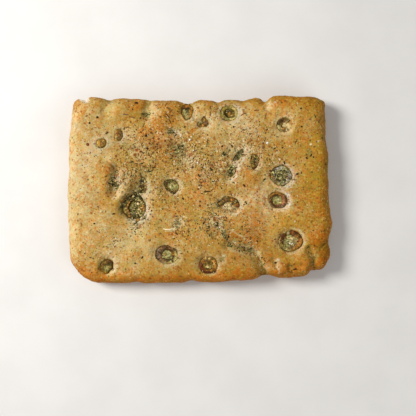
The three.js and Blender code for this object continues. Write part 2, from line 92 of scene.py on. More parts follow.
# Finger dimples and creases: a path, the distance to half the depth, and the depth.
DIMPLES = [
    ([(-77, 18), (-79, 6), (-79, -4)], 4.8, 6), ([(-79, 3), (-70, 9)], 4, 3.6),
    ([(-60, -15), (-54, 1)], 9, 5), ([(-55, 3), (-51, 12)], 4, 2.4), ([(-47, 84), (-47.5, 68)], 4, 4.4),
    ([(-83, 83), (-88, 71)], 5, 2.6), ([(-88, 27), (-85, 33)], 4.5, 2), ([(-20, 42), (-16, 30)], 7.5, 3.8),
    ([(-26, 54), (-13, 53)], 3.4, 2.2), ([(-33, -33), (-20, -30)], 6, 2.6), ([(38, 37), (27, 10)], 5, 4.8),
    ([(25, 34), (30, 40)], 3, 2), ([(21, 71), (20, 76)], 4, 2.4), ([(62, 84), (63, 76)], 3.4, 2.6),
    ([(10, -30), (17, -42)], 5, 2.8), ([(17, -42), (27, -52)], 4.5, 2.6),
    ([(27, -52), (43, -55.5), (50.5, -59.5)], 4.6, 4.6), ([(50.5, -59.5), (59, -72), (61, -84)], 4.6, 4.6),
    ([(64, 43), (68, 37)], 7, 2.2), ([(21, -62), (20, -67)], 3, 3),
    ([(102, -56), (108, -65), (108, -80)], 4, 4.4), ([(84, -72), (94, -72.5)], 2.8, 2.8),
    ([(69.5, -66), (72, -71)], 2.8, 3.2), ([(116, -54), (110, -56)], 4.5, 2),
    ([(-98, -66), (-70, -58)], 5, 1.2),
]

# Colours, as sRGB from 0 to 255.
COLOURS = {
    "golden": (185, 147, 66), "deep gold": (168, 130, 16), "cream": (214, 193, 147),
    "toast": (176, 106, 32), "dark toast": (112, 66, 26), "olive gold": (142, 124, 48),
    "orange": (192, 118, 40), "green cream": (206, 190, 138), "chilli": (140, 66, 28),
    "dried herb": (68, 58, 26), "ash": (128, 122, 100), "lilac grey": (156, 146, 134),
    "crumb": (234, 222, 184), "oil green": (122, 112, 50), "deep green": (66, 64, 28),
    "side gold": (178, 134, 48), "amber": (196, 120, 26), "base brown": (132, 84, 36),
    "light gold": (198, 166, 84), "khaki": (180, 160, 98), "straw": (200, 180, 116),
    "sage": (146, 140, 84), "pale sage": (190, 186, 134), "olive drab": (122, 110, 48),
    "olive brown": (116, 90, 32), "dark olive": (54, 48, 14), "umber": (80, 52, 18),
    "brown": (124, 88, 48), "plum": (124, 97, 72), "slate": (92, 88, 54), "rust": (122, 66, 26),
    "dark rust": (80, 42, 14), "amber flesh": (178, 120, 50), "gold brown": (158, 110, 34),
    "rose": (174, 120, 78), "dough": (212, 190, 136), "torn dough": (238, 228, 206),
}


def linear(name):
    srgb = np.array(COLOURS[name]) / 255
    return tuple(np.where(srgb <= 0.04045, srgb / 12.92, ((srgb + 0.055) / 1.055) ** 2.4))


def olive(x, y, long, short, turn, hole, pit, start=0, sweep=360, **looks):
    """One slice: the solid's own numbers, and its looks.

    Flesh, skin and inner are a colour, or stops of (angle, colour) anticlockwise from the east; skin_from
    and inner_to say where those bands end, from -1 at the hole to 1 at the outside. Core is the colour in
    the hole and lift its height over the ring's top. Halo is how pale the dough is beside the slice, paler
    still on the slice's east side as a painted highlight on the pit wall toward the light.
    Covered is where the dough reaches over its edge, bulges where the edge itself goes out, and narrowed
    where the flesh goes into the hole: angle, mm, and the angle it fades over. Rough is how strongly the
    flesh is speckled, and rim how dark the dough under its edge is painted, a painted shade that shows in
    the gap round the slice. Marks are spots of colour: mm to the east and to the north of the middle, half
    size, colour.
    """
    known = dict(flesh="khaki", skin="dark olive", inner="olive drab", core="khaki", lift=0.0, halo=0.5,
                 skin_from=0.72, inner_to=-0.5, covered=[], bulges=[], narrowed=[], rough=0.35, rim=0.8,
                 marks=[])
    return dict(x=x, y=y, long=long, short=short, turn=turn, hole=hole, pit=pit, start=start, sweep=sweep,
                **{**known, **looks})


# Olive slices in the order of their nodes: centre, half sizes, turn in degrees, share that is hole, depth of
# the pit, and for a broken ring its first angle and sweep.
OLIVES = [
    olive(28, 70.8, 8.3, 7.7, 0, 0.5, 3.8, skin_from=0.66, inner="olive brown", core="olive brown",
          lift=-2, halo=1, rim=0.3, covered=[(0, 0.8, 60), (80, 0.3, 40), (180, 0.3, 40)],
          flesh=[(20, "khaki"), (120, "olive gold"), (190, "olive gold"), (250, "sage"), (310, "khaki")],
          skin=[(0, "olive gold"), (90, "olive brown"), (170, "olive gold"), (230, "olive brown"),
                (300, "olive brown")],
          marks=[(2.3, -2.3, 1.1, "khaki"), (-7.4, 2.6, 1, "plum"), (1.3, 4.6, 0.7, "olive brown"),
                 (-3, -1.2, 1.3, "dark olive"), (-1.2, 2.4, 1.3, "dark olive"), (1.9, 1.3, 1.2, "umber"),
                 (-0.2, -1.2, 1.2, "gold brown"), (0.6, -0.4, 0.7, "rose"), (-3.8, 1, 0.8, "umber"),
                 (1.2, -3.2, 0.8, "umber")]),
    olive(-10.8, 71.6, 7.3, 5.6, 84, 0.42, 4.6, inner_to=-0.1, core="sage", lift=-1.4,
          covered=[(240, 0.6, 20), (310, 1, 25)],
          flesh=[(-30, "gold brown"), (70, "gold brown"), (110, "rust"), (150, "umber"),
                 (190, "olive brown"), (230, "olive brown"), (260, "khaki"), (290, "olive drab")],
          skin=[(0, "brown"), (60, "olive brown"), (130, "olive brown"), (180, "dark olive"),
                (250, "olive drab")],
          inner=[(0, "gold brown"), (60, "umber"), (130, "umber"), (180, "sage"), (270, "sage")],
          narrowed=[(0, 1, 40), (90, 1.2, 40), (180, 0.8, 40), (270, 1.4, 40)],
          bulges=[(135, 1, 25), (90, 0.9, 30), (45, 0.4, 25), (0, -0.7, 35), (262, 0.4, 18),
                  (215, -0.8, 22)],
          marks=[(-3, 1.8, 1.1, "pale sage"), (-1.8, -1.2, 1.2, "pale sage"), (-0.4, -3.6, 1.1, "khaki"),
                 (0.2, 3.4, 1.3, "dark olive"), (0.2, 1.6, 1, "dark olive"), (-1.6, 5.6, 1, "amber flesh"),
                 (2, 1.8, 0.9, "amber flesh"), (-4, -3.2, 1.2, "olive brown"),
                 (-4.6, 3.6, 1, "dark olive"), (0.2, -5.6, 1.1, "khaki"), (2.2, -3.4, 1, "amber flesh"),
                 (0.4, -0.2, 0.8, "umber"), (0.9, -2, 0.7, "umber")]),
    olive(4, 61.3, 5.4, 4.8, 20, 0.24, 3.8, 150, 300, skin="olive brown", inner="brown", core="brown",
          lift=-0.6, halo=0.3, rim=0.5,
          flesh=[(60, "brown"), (110, "olive brown"), (180, "olive drab"), (240, "olive brown"),
                 (320, "olive brown")],
          covered=[(40, 0.9, 25), (140, 0.8, 25), (0, 0.6, 30), (270, 0.8, 50)],
          bulges=[(84, 2, 16), (203, 0.2, 18), (325, -0.2, 22), (262, -1.3, 30)],
          marks=[(-3.2, -1.2, 1.2, "umber"), (-0.2, -1.8, 1.1, "gold brown"),
                 (1.8, 3.2, 1.2, "gold brown"), (2.6, 0.2, 1.4, "plum"), (4.6, -1.4, 1.2, "olive drab"),
                 (0, 2, 0.8, "khaki"), (0, 0, 0.9, "gold brown"), (-0.6, 2.2, 1.2, "olive drab"),
                 (-4.6, 0.2, 1.2, "khaki"), (1.9, -1.9, 1, "umber"), (0.8, 5.6, 0.9, "brown"),
                 (-4.6, -2.6, 0.9, "umber")]),
    olive(79.5, 60.2, 7.2, 6.8, 0, 0.4, 4.4, 42, 262, inner="brown", core="dough", lift=-0.6, halo=0.3,
          covered=[(20, 0.5, 20), (120, 0.4, 20)],
          flesh=[(30, "khaki"), (60, "olive brown"), (100, "olive brown"), (140, "umber"),
                 (180, "dark olive"), (215, "sage"), (240, "olive brown"), (260, "brown"),
                 (300, "olive brown")],
          skin=[(50, "khaki"), (90, "olive brown"), (150, "dark olive"), (200, "olive drab"), (240, "sage")],
          marks=[(1.5, 4.4, 1.4, "brown"), (4.2, 3.8, 1, "khaki"), (-3, 3.9, 1.2, "dark olive"),
                 (-5, 0.6, 1.1, "dark olive"), (-2.6, 1.2, 0.9, "brown"), (-1.3, -3.9, 1.8, "plum"),
                 (-0.4, -4.4, 0.9, "gold brown"), (-5.2, -3.8, 1.2, "sage"), (3, -4.4, 2.2, "dough"),
                 (1.2, -0.6, 1.9, "dough"), (2, -5.6, 1.4, "dough"), (-5.8, -2.2, 1.3, "straw"),
                 (-3.4, 0.2, 1.2, "olive brown"), (-1.6, -0.2, 1.1, "straw"),
                 (0.6, 6.2, 0.9, "olive drab"), (1.6, 2.4, 1.2, "khaki"), (4.6, -1, 2, "dough"),
                 (-3.6, -4.2, 0.9, "olive brown")]),
    olive(-74.9, 50.4, 6.2, 3.8, 86, 0.3, 3.4, rim=0.4, inner="brown", inner_to=-0.4, core="brown",
          lift=-0.5, halo=0.3, covered=[(180, 0.6, 90)],
          flesh=[(90, "olive brown"), (140, "gold brown"), (180, "gold brown"), (230, "golden"),
                 (270, "olive brown")],
          skin=[(0, "olive brown"), (90, "olive gold"), (180, "golden"), (270, "olive brown"),
                (320, "dark olive")],
          bulges=[(120, 0.5, 20), (240, 0.4, 20), (50, 0.4, 20)],
          marks=[(-2.2, 1.6, 0.9, "amber flesh"), (-1.8, -1.6, 0.8, "straw"), (0, 3.6, 0.9, "rust"),
                 (0.3, 1.6, 0.8, "olive brown"), (1.8, 0.2, 1, "dark olive"),
                 (0.4, -3.4, 1, "olive brown"), (-1.6, -3.4, 1, "olive brown"),
                 (0, -0.2, 0.8, "gold brown"), (1.6, 5.2, 0.9, "olive brown")]),
    olive(-91.1, 43, 5.2, 4.9, 20, 0, 3, rim=0.2, inner="gold brown", skin_from=0.8, halo=0.4,
          flesh=[(90, "olive brown"), (180, "golden"), (300, "olive brown")],
          skin=[(0, "olive brown"), (90, "olive gold"), (180, "golden"), (250, "golden"),
                (320, "olive brown")],
          covered=[(180, 0.45, 70), (90, 0.6, 60), (300, 0.4, 50)],
          bulges=[(30, 0.3, 20), (90, -0.2, 20), (150, 0.3, 20)],
          marks=[(0.2, 0.2, 1.3, "brown"), (0.2, -2.2, 1.1, "brown"), (-2, -4, 1.1, "umber"),
                 (2, 0.2, 1.1, "olive brown"), (2, -2.2, 1.1, "olive brown"), (2.2, 2.6, 1, "gold brown"),
                 (-2.4, 1.8, 1.1, "gold brown"), (-2.4, -0.4, 1, "gold brown"), (-3.6, 0.4, 1, "golden"),
                 (0.2, 3.4, 1.2, "olive brown")]),
    olive(36.5, 31.4, 6.2, 3, 58, 0, 3.6, inner="slate", halo=0.9, rim=0.3,
          bulges=[(40, 0.8, 18), (222, 1, 18), (120, -0.3, 30)], rough=0.12,
          flesh=[(60, "slate"), (260, "slate"), (330, "sage")],
          skin=[(60, "olive drab"), (150, "dark olive"), (210, "olive drab"), (300, "slate")],
          covered=[(330, 1.1, 50), (150, 0.5, 40), (225, 0.5, 25)],
          marks=[(-2.4, 0.2, 1.1, "dark olive"), (0, 0.6, 1, "sage"), (0, 2.4, 1, "dark olive"),
                 (-2, -2.2, 1.2, "slate"), (-3.8, -3.2, 1.1, "slate"), (2, 2.4, 1.1, "slate"),
                 (2, 4.2, 1, "slate"), (2, 0, 0.9, "sage")]),
    olive(29.9, 17.2, 5.6, 4.1, 72, 0.36, 3.6, core="dark olive", inner_to=-0.3, lift=-1, halo=0.7,
          covered=[(180, 0.5, 40), (60, 0.3, 30)],
          flesh=[(0, "khaki"), (90, "sage"), (160, "olive drab"), (230, "dark olive"), (300, "sage")],
          skin=[(0, "khaki"), (90, "olive drab"), (200, "dark olive"), (290, "olive drab")],
          marks=[(2.3, 3.9, 1.3, "pale sage"), (-1.6, -0.5, 0.9, "pale sage"),
                 (0.6, 0.4, 0.9, "dark olive"), (-0.5, -4.4, 1.2, "dark olive"),
                 (2.2, -0.4, 0.9, "pale sage"), (-3.4, 2.2, 1.2, "straw"), (-3.2, -2.4, 1, "khaki")]),
    olive(51.8, 26.2, 7.2, 4, 76, 0, 4.2, rough=0.6, rim=0.1, inner="brown",
          bulges=[(110, 0.9, 22), (262, 1, 14), (60, -0.5, 20)],
          flesh=[(80, "olive brown"), (150, "brown"), (250, "olive brown"), (330, "brown")],
          skin=[(80, "olive brown"), (150, "gold brown"), (215, "gold brown"), (262, "rust"),
                (330, "olive brown")],
          covered=[(210, 0.5, 40), (170, 0.4, 40), (0, 0.5, 30), (90, 0.4, 30)],
          marks=[(-0.3, -6, 1.6, "dark rust"), (0.6, 3, 1.2, "olive drab"), (-2.6, 1.6, 1.4, "gold brown"),
                 (-2.8, 5.2, 1.3, "khaki"), (1.8, 0.2, 1.1, "olive brown"),
                 (-2.4, -1.2, 1.3, "olive brown"), (-2, 1, 0.9, "olive drab"),
                 (1.2, 5.4, 1, "olive brown"), (0.2, -3.2, 1, "umber"), (0.2, 1.6, 1, "plum"),
                 (0.2, -1.6, 0.9, "plum"), (-3, 3.6, 1, "olive brown"), (-2, -4.4, 1.1, "olive drab"),
                 (2, -4, 1, "olive brown")]),
    olive(76.2, 12.7, 10, 9.5, 0, 0.42, 4.2, rough=0.9, rim=0.35, inner="dark olive", core="sage",
          lift=-1.2, halo=1, covered=[(0, -0.2, 60)], skin_from=0.66,
          flesh=[(0, "lilac grey"), (60, "sage"), (110, "lilac grey"), (160, "sage"), (200, "plum"),
                 (260, "olive drab"), (310, "lilac grey")],
          skin=[(0, "olive drab"), (90, "olive drab"), (150, "dark olive"), (180, "olive drab"),
                (270, "olive drab"), (330, "sage")],
          bulges=[(80, 0.8, 9), (115, -0.4, 12), (345, 0.5, 10), (285, 0.5, 9), (20, -0.4, 12),
                  (215, -0.4, 12)],
          marks=[(-7.7, 2.7, 1.4, "straw"), (-9, -1, 0.6, "amber flesh"), (-1.7, -0.7, 1.8, "sage"),
                 (1.7, -0.7, 0.8, "dark rust"), (-0.4, -3.3, 1.1, "brown"), (5.6, -5.2, 1, "pale sage"),
                 (-1.4, 7, 1.2, "lilac grey"), (3.6, 5.6, 1, "pale sage"), (-4.4, 6.2, 0.9, "lilac grey"),
                 (7.4, 0.8, 0.9, "lilac grey"), (4, 1.6, 1, "khaki"), (-5.6, -4.6, 1.2, "plum"),
                 (-2, -6.6, 0.8, "lilac grey"), (1, -7.4, 0.9, "pale sage"),
                 (3.4, -4.8, 0.8, "dark olive"), (6.6, 3.2, 0.8, "dark olive"),
                 (-6.8, 5, 0.9, "dark olive"), (-4, 1.2, 0.9, "dark olive"), (0.4, 3.6, 1, "olive drab"),
                 (2.4, 3, 0.8, "gold brown"), (-3.2, 4.6, 0.8, "pale sage"), (1.6, 5.4, 0.7, "lilac grey"),
                 (5.8, 1.4, 0.7, "pale sage"), (5, -2.6, 0.8, "straw"), (2, -5.8, 0.8, "pale sage"),
                 (-4.4, -2.2, 0.8, "lilac grey"), (-6.2, 0.8, 0.8, "lilac grey"),
                 (-2.8, 8.2, 0.8, "dark olive"), (8.2, -2.8, 0.8, "dark olive"),
                 (0.6, 8.6, 0.7, "lilac grey"), (-3.4, -4.2, 0.7, "rust"), (6.2, -0.8, 0.7, "dark olive"),
                 (-1.2, 5.2, 0.7, "dark olive")]),
    olive(72.9, -10.2, 9.5, 7.7, -4, 0.5, 4.4, rough=0.5, inner_to=0, core="sage", lift=-0.9, halo=0.8,
          covered=[(200, 1, 25), (330, 0.3, 30)], narrowed=[(0, 1.6, 45), (180, 1.4, 35), (280, 0.6, 30)],
          flesh=[(-60, "plum"), (20, "plum"), (60, "brown"), (100, "gold brown"), (150, "gold brown"),
                 (190, "brown"), (240, "umber")],
          skin=[(0, "dark olive"), (50, "umber"), (90, "gold brown"), (140, "khaki"), (200, "khaki"),
                (250, "plum"), (300, "dark olive")],
          inner=[(0, "rose"), (40, "rust"), (80, "umber"), (150, "umber"), (200, "dark rust"),
                 (260, "umber"), (320, "rose")],
          bulges=[(175, -0.5, 25), (20, -0.4, 20), (280, -0.3, 20)],
          marks=[(0.6, 0.8, 1.4, "pale sage"), (4.4, -0.4, 1.2, "rose"), (6.9, 3, 1.3, "umber"),
                 (7.4, -0.6, 1.3, "umber"), (7, -3.2, 1.2, "umber"), (7.2, 1.4, 1.1, "umber"),
                 (-2, -6, 1.3, "umber"), (-5.4, -3.6, 1.2, "umber"), (-2.4, 3.6, 1, "dark rust"),
                 (-8.2, -3.8, 1.4, "khaki"), (-2.4, -1.6, 1.3, "olive drab"), (2.4, -2.4, 1, "straw"),
                 (1, 3.4, 0.9, "umber"), (3.6, -4.2, 1.2, "plum")]),
    olive(85, -48.1, 11.4, 9.9, 8, 0.52, 4.6, 112, 326, skin_from=0.62, rough=0.5, core="sage", lift=-1,
          covered=[(112, 2, 13)],
          flesh=[(-75, "gold brown"), (-30, "gold brown"), (5, "amber flesh"), (30, "gold brown"),
                 (55, "umber"), (80, "rust"), (150, "rust"), (170, "brown"), (200, "olive brown"),
                 (230, "olive drab"), (260, "khaki")],
          skin=[(0, "umber"), (50, "dark rust"), (90, "rust"), (130, "brown"), (175, "khaki"),
                (230, "dark olive"), (270, "olive drab"), (320, "umber")],
          inner=[(-60, "rose"), (0, "plum"), (60, "brown"), (110, "rust"), (160, "rust"),
                 (190, "olive drab"), (250, "olive drab")],
          bulges=[(108, -1.4, 13), (85, 0.4, 10), (200, -0.4, 25), (345, 0.5, 20)],
          marks=[(6.1, 7.4, 1.5, "umber"), (9, 4.3, 1.2, "umber"), (0.3, 6.6, 1.3, "rust"),
                 (5, 3.7, 1.1, "amber flesh"), (7.4, -1.6, 1.6, "amber flesh"), (5.3, 0.4, 1, "plum"),
                 (4.4, -3.6, 1.1, "rose"), (0.9, -6.1, 1.1, "plum"), (1.9, 2, 1.5, "straw"),
                 (0.6, 2.6, 0.8, "amber flesh"), (-0.3, -2.4, 0.8, "dough"), (-1.3, -1.2, 0.7, "dough"),
                 (3.4, 3.4, 0.9, "gold brown"), (-1.7, -3, 0.7, "dark olive"), (0.3, -4.7, 0.8, "rust"),
                 (-4.3, -0.9, 1.8, "sage"), (-7.2, -3.8, 1.7, "olive drab"), (-7.2, 4.4, 1.6, "dark rust"),
                 (-8.3, 1.2, 1.3, "rust"), (-5.4, -6.4, 1.3, "khaki"), (-2, -7, 1, "plum"),
                 (-10.7, 4, 0.9, "dark olive"), (-2.3, 3.6, 1.2, "straw"), (4.6, -6.2, 1.2, "gold brown"),
                 (-7.6, 2.8, 1.5, "dark rust"), (-6.6, 6.2, 1, "dark rust"), (-5.2, 5, 1.4, "dark rust"),
                 (2.6, 5.2, 1.1, "rust"), (-5.2, 2.6, 1.2, "brown"), (2.6, 2.6, 1.2, "straw"),
                 (7.8, 2.6, 1.4, "dark rust"), (-7.6, 0, 1.4, "umber"), (-6.2, 1.2, 1.4, "umber"),
                 (-7.2, -1.8, 1.3, "umber"), (-6, -3.2, 1.4, "olive brown"), (-2.6, 0, 1, "ash"),
                 (0, 0, 1.1, "dough"), (2.6, 0, 1.1, "plum"), (5.2, 0, 1.1, "rose"), (7.8, 0, 1.2, "rust"),
                 (0, 2.4, 1.1, "dough"), (2.6, -5.2, 1.1, "brown"), (5.2, -5.2, 1, "brown"),
                 (-5.2, 0.4, 1.1, "olive drab"), (-2.2, 7.6, 1.2, "dough")]),
    olive(-25.4, 3, 7, 6, -24, 0.52, 4.4, skin_from=0.5, core="sage", lift=-0.7, halo=0.7,
          covered=[(10, 0.3, 30)], narrowed=[(120, 1, 30), (0, 0.5, 60)],
          flesh=[(0, "sage"), (60, "olive drab"), (110, "olive drab"), (150, "dark olive"),
                 (200, "olive brown"), (240, "olive drab"), (300, "olive brown")],
          skin=[(0, "khaki"), (50, "umber"), (110, "umber"), (160, "dark olive"), (230, "dark olive"),
                (290, "umber")],
          inner=[(0, "olive drab"), (120, "dark olive"), (220, "olive drab")],
          bulges=[(290, 1.3, 20), (235, -1.3, 26), (180, -1, 18), (150, 1.3, 18), (50, -0.4, 25)],
          marks=[(-1.6, -0.6, 0.9, "dough"), (-0.6, -1.8, 0.8, "pale sage"), (-2, 2.6, 1.1, "dark olive"),
                 (0.3, 2.4, 0.8, "rose"), (2.4, 2.4, 1.1, "olive drab"), (-5.8, 3.6, 1.6, "dark olive"),
                 (2, -2.4, 1, "olive drab"), (0, -5, 1.2, "umber"), (2.2, -5, 1, "olive brown"),
                 (-4.6, 0, 1.2, "umber"), (-4.4, 2.4, 1, "umber"), (2.2, 0, 0.9, "khaki"),
                 (-2.6, -2.2, 1.1, "olive brown"), (-4.2, 4.6, 1, "dark olive"),
                 (-1.8, 5, 0.9, "dark olive"), (0.6, 5, 0.8, "dark olive"),
                 (-4.2, -2.8, 0.9, "dark olive"), (-2, -4.2, 0.9, "dark olive"),
                 (0.6, -5.4, 1, "dark olive"), (3.2, -4.6, 0.8, "umber")]),
    olive(-60.7, -16.4, 11.4, 10.8, 60, 0.46, 6.8, rough=0.9, core="olive drab", lift=-1.8, halo=0.75,
          rim=0.45, covered=[(0, -0.5, 90), (300, -0.3, 40)],
          flesh=[(0, "gold brown"), (50, "dark olive"), (150, "dark olive"), (180, "olive brown"),
                 (220, "olive brown"), (270, "dark olive"), (320, "olive drab")],
          skin=[(60, "dark olive"), (260, "dark olive"), (320, "olive drab")],
          inner=[(0, "gold brown"), (90, "dark olive"), (180, "dark rust"), (270, "umber")],
          bulges=[(75, 1.2, 14), (120, -0.4, 20), (30, -0.6, 15), (330, 0.6, 12), (210, -0.4, 20)],
          marks=[(-1.9, 0.9, 1.2, "sage"), (0.4, 2.6, 1.2, "dark olive"), (2.4, -0.8, 1.5, "dark olive"),
                 (-3.6, 1.6, 1.1, "umber"), (-2.3, -6.9, 1.6, "umber"), (4.1, -9.1, 1.6, "dark olive"),
                 (6.9, -1.3, 1.2, "umber"), (0, -5.2, 1.4, "ash"), (9.1, -0.8, 1.2, "gold brown"),
                 (-8.4, -1, 1, "khaki"), (-8, -4.6, 1.1, "khaki"), (-2.6, -1.4, 1.6, "slate"),
                 (-2, -4.4, 1.4, "slate"), (-10.2, 0.6, 1.5, "dark olive"),
                 (-10.4, -2.4, 1.4, "dark olive"), (0.6, 9, 1.8, "dark olive"),
                 (3.6, 8.6, 1.8, "dark olive"), (-3.4, 8.2, 1.6, "umber"), (9.4, 3.2, 1.3, "dark olive"),
                 (10.2, -3.4, 1.2, "dark olive"), (6.6, 7.2, 1.4, "dark olive"),
                 (-9.4, 4, 1.4, "dark olive"), (-9.6, -3.6, 1.3, "olive drab"), (4.2, 6.4, 1, "khaki"),
                 (0.4, 5.6, 1.6, "umber"), (8.6, 4, 1.6, "olive drab"), (5.2, 1, 1.2, "olive brown"),
                 (-4.2, 3.4, 0.8, "dark rust"), (-4.8, 0, 0.8, "dark rust"),
                 (-3.9, -2.8, 0.8, "dark rust"), (6.4, -4.6, 1.2, "khaki"), (2.6, -6, 1.2, "slate"),
                 (3, 4, 1.4, "dark olive"), (-0.6, -7.4, 1.4, "slate"), (-1.4, 7.6, 1.2, "sage"),
                 (-6, 5.2, 1.3, "olive drab")]),
    olive(-52.4, 0.4, 4.2, 3.9, 0, 0.3, 5.6, rough=0.6, skin="umber", core="olive brown", inner="umber",
          lift=-0.8, halo=1, covered=[(200, 0.3, 60), (0, 1, 60)], bulges=[(180, 0.7, 40), (0, -0.5, 40)],
          flesh=[(0, "plum"), (90, "umber"), (180, "olive drab"), (270, "dark olive")],
          marks=[(-2.4, 2.2, 1.1, "umber"), (0, 2.4, 0.9, "dark olive"), (1.8, -1.4, 0.9, "plum"),
                 (-2.6, 0, 1, "umber"), (-2.4, -2.4, 1.1, "dark olive"), (0, -2.6, 0.9, "olive drab"),
                 (2.2, 1.8, 0.9, "khaki")]),
    olive(-30, -60.7, 10.7, 8.8, -8, 0.47, 4.2, skin_from=0.7, inner_to=-0.3, rough=0.7, core="sage",
          lift=-0.8, covered=[(50, 0.5, 20), (300, 0.5, 18)], bulges=[(0, -0.4, 20), (65, -0.4, 20)],
          flesh=[(10, "khaki"), (40, "brown"), (62, "brown"), (95, "umber"), (140, "plum"), (240, "plum"),
                 (270, "khaki")],
          skin=[(0, "olive drab"), (40, "umber"), (140, "umber"), (180, "dark olive"), (215, "dark olive"),
                (250, "khaki"), (300, "khaki")],
          inner=[(0, "umber"), (60, "umber"), (120, "dark olive"), (180, "umber"), (230, "umber"),
                 (310, "dark olive")],
          narrowed=[(180, 2.9, 50), (0, 1.9, 50), (270, 1, 30), (90, 0.4, 40)],
          marks=[(5.1, -6.3, 1.2, "dark olive"), (7.6, -3.5, 1.4, "olive drab"),
                 (7.4, 4.6, 0.9, "dark olive"), (6, 0.8, 1.3, "gold brown"), (7.6, 1.2, 0.9, "olive drab"),
                 (9, -1, 0.8, "khaki"), (2.6, -3.8, 1, "umber"), (0.2, 5.6, 1, "umber"),
                 (-4.4, 1.2, 0.9, "umber"), (4.6, 1.6, 0.8, "umber"), (-7, -0.5, 1.2, "ash"),
                 (-5, 6.2, 1.2, "brown"), (-6.6, 3.2, 1, "ash"), (-3.6, -5.6, 1.2, "khaki"),
                 (0.4, 0.9, 0.8, "straw"), (-1.4, 1.8, 0.7, "dough"), (1.8, -1, 0.8, "pale sage"),
                 (1.4, 2.6, 0.7, "pale sage"), (-0.9, -1, 0.7, "rose"), (2.6, 1.2, 0.7, "dough"),
                 (-7.6, 2.4, 0.8, "umber"), (-5.4, -2.6, 0.8, "brown"), (-6.2, 4.8, 0.7, "umber"),
                 (-9, -3.6, 1, "dark olive"), (2.6, -2.4, 1, "dark olive"), (4.6, 0, 1, "olive brown"),
                 (4.4, 2.4, 0.9, "olive brown"), (0.2, -3, 0.9, "olive drab"), (-2.4, 0, 0.9, "straw"),
                 (-9.6, -1.2, 1.4, "dark olive"), (4.2, -1.6, 0.8, "umber"), (7.2, 0, 1, "gold brown"),
                 (3.4, 4, 0.8, "umber")]),
    olive(8.6, -70.4, 8.7, 8.3, 0, 0.5, 4.6, rough=0.7,
          narrowed=[(0, 0.8, 40), (90, 0.6, 30), (180, 0.6, 30)], inner_to=-0.1, core="olive brown",
          lift=-0.6, halo=0.25, covered=[(120, 0.5, 25), (75, 0.3, 20)],
          flesh=[(40, "gold brown"), (70, "olive brown"), (100, "khaki"), (130, "gold brown"),
                 (165, "brown"), (195, "rust"), (240, "dark rust"), (290, "dark rust"), (330, "gold brown")],
          skin=[(0, "umber"), (50, "olive brown"), (110, "khaki"), (160, "brown"), (200, "rust"),
                (250, "dark rust"), (310, "umber")],
          inner=[(0, "amber flesh"), (60, "amber flesh"), (110, "brown"), (160, "umber"), (220, "rust"),
                 (300, "gold brown")],
          bulges=[(308, 0.8, 14), (326, 0.6, 14), (90, -0.3, 25)],
          marks=[(0.5, 2.2, 1.3, "umber"), (-1.3, -0.9, 1.3, "khaki"), (-0.4, -2.2, 0.9, "straw"),
                 (1.8, -1, 0.8, "straw"), (-4.9, 2.8, 1.4, "gold brown"), (-6.4, 4.2, 1, "gold brown"),
                 (6.6, 3.6, 0.9, "brown"), (-7.2, 0.6, 1.2, "rust"), (-1.6, 6.6, 1, "gold brown"),
                 (2.6, 6.6, 0.9, "brown"), (2.4, -2.1, 0.7, "dark olive"), (-0.8, 4.8, 1.2, "brown"),
                 (-4.4, 4.6, 1.1, "brown"), (3.6, 4, 0.9, "khaki"), (-3, 1.6, 1.3, "olive brown"),
                 (5.8, -6.4, 1.2, "dark olive"), (5.2, 0.8, 0.8, "straw"), (1.2, -4.4, 0.8, "rust"),
                 (3.8, -4, 1, "gold brown"), (0.4, -7.2, 1.2, "dark rust"), (-6.9, -2.7, 1.3, "rust"),
                 (7.4, 1.2, 0.8, "umber"), (4.8, -2, 0.7, "amber flesh"), (2.4, 4.8, 1.1, "olive brown"),
                 (0, 7.2, 1, "gold brown"), (1.4, -2.4, 1, "khaki"), (-2, -2.2, 1, "khaki"),
                 (2.4, -7.2, 1.1, "dark rust"), (4.6, -6.8, 1, "umber"), (0, -4.8, 0.9, "brown")]),
    olive(-85.9, -71.6, 7, 6, 58, 0, 5.4, halo=0.7, covered=[(330, -0.2, 30)], skin_from=0.6,
          inner_to=-0.1, rough=0.15,
          flesh=[(-40, "umber"), (10, "dark olive"), (60, "umber"), (110, "umber"), (160, "olive brown"),
                 (220, "olive brown"), (270, "olive drab")],
          skin=[(-60, "olive brown"), (0, "dark olive"), (60, "umber"), (120, "olive brown")],
          bulges=[(262, 0.8, 16), (310, -1, 24), (180, 0.8, 40)],
          marks=[(-0.3, -1.9, 2, "sage"), (0.6, -1.2, 1.1, "khaki"), (-0.8, 2, 1.5, "umber"),
                 (1.4, 1.9, 1.5, "dark olive"), (3.4, 1.6, 1.5, "dark olive"), (-2.9, 1.6, 1.5, "umber"),
                 (-4.6, -0.6, 1.5, "olive brown"), (-4, -3.4, 1.4, "olive brown"),
                 (-5.6, 1.6, 1.3, "olive brown"), (3.4, -1, 1, "olive brown"),
                 (-1.4, -6, 1.1, "gold brown"), (1.8, 5.2, 1.3, "umber"), (-1.6, 3, 1.2, "olive brown")]),
    olive(27.6, -14.6, 10.2, 8, -6, 0.4, 4.2, -12, 204, skin_from=0.6, inner="olive brown", core="dough",
          lift=-0.8, rough=0.8,
          flesh=[(-14, "rust"), (10, "gold brown"), (40, "gold brown"), (75, "olive brown"),
                 (110, "brown"), (140, "brown"), (170, "olive brown")],
          skin=[(0, "umber"), (60, "umber"), (120, "olive brown"), (170, "olive drab")],
          covered=[(90, 0.2, 25), (20, -0.2, 20), (140, 0.6, 14)],
          bulges=[(110, 0.4, 12), (50, 0.3, 12), (140, -0.6, 12), (80, -0.5, 10)],
          marks=[(2.4, 4.6, 1.1, "amber flesh"), (2.4, 2.4, 1, "amber flesh"), (4.8, 4.2, 1, "umber"),
                 (4.8, 2.2, 1, "olive brown"), (7.2, 2.4, 1.1, "umber"), (4.8, -0.2, 1, "amber flesh"),
                 (2.4, 0, 1, "umber"), (7.2, 0, 1.1, "rust"), (9.4, -0.2, 1, "gold brown"),
                 (-7.4, 2.4, 1.2, "olive brown"), (-9.1, 4.4, 1.1, "umber"), (-7.2, 0, 1.2, "olive brown"),
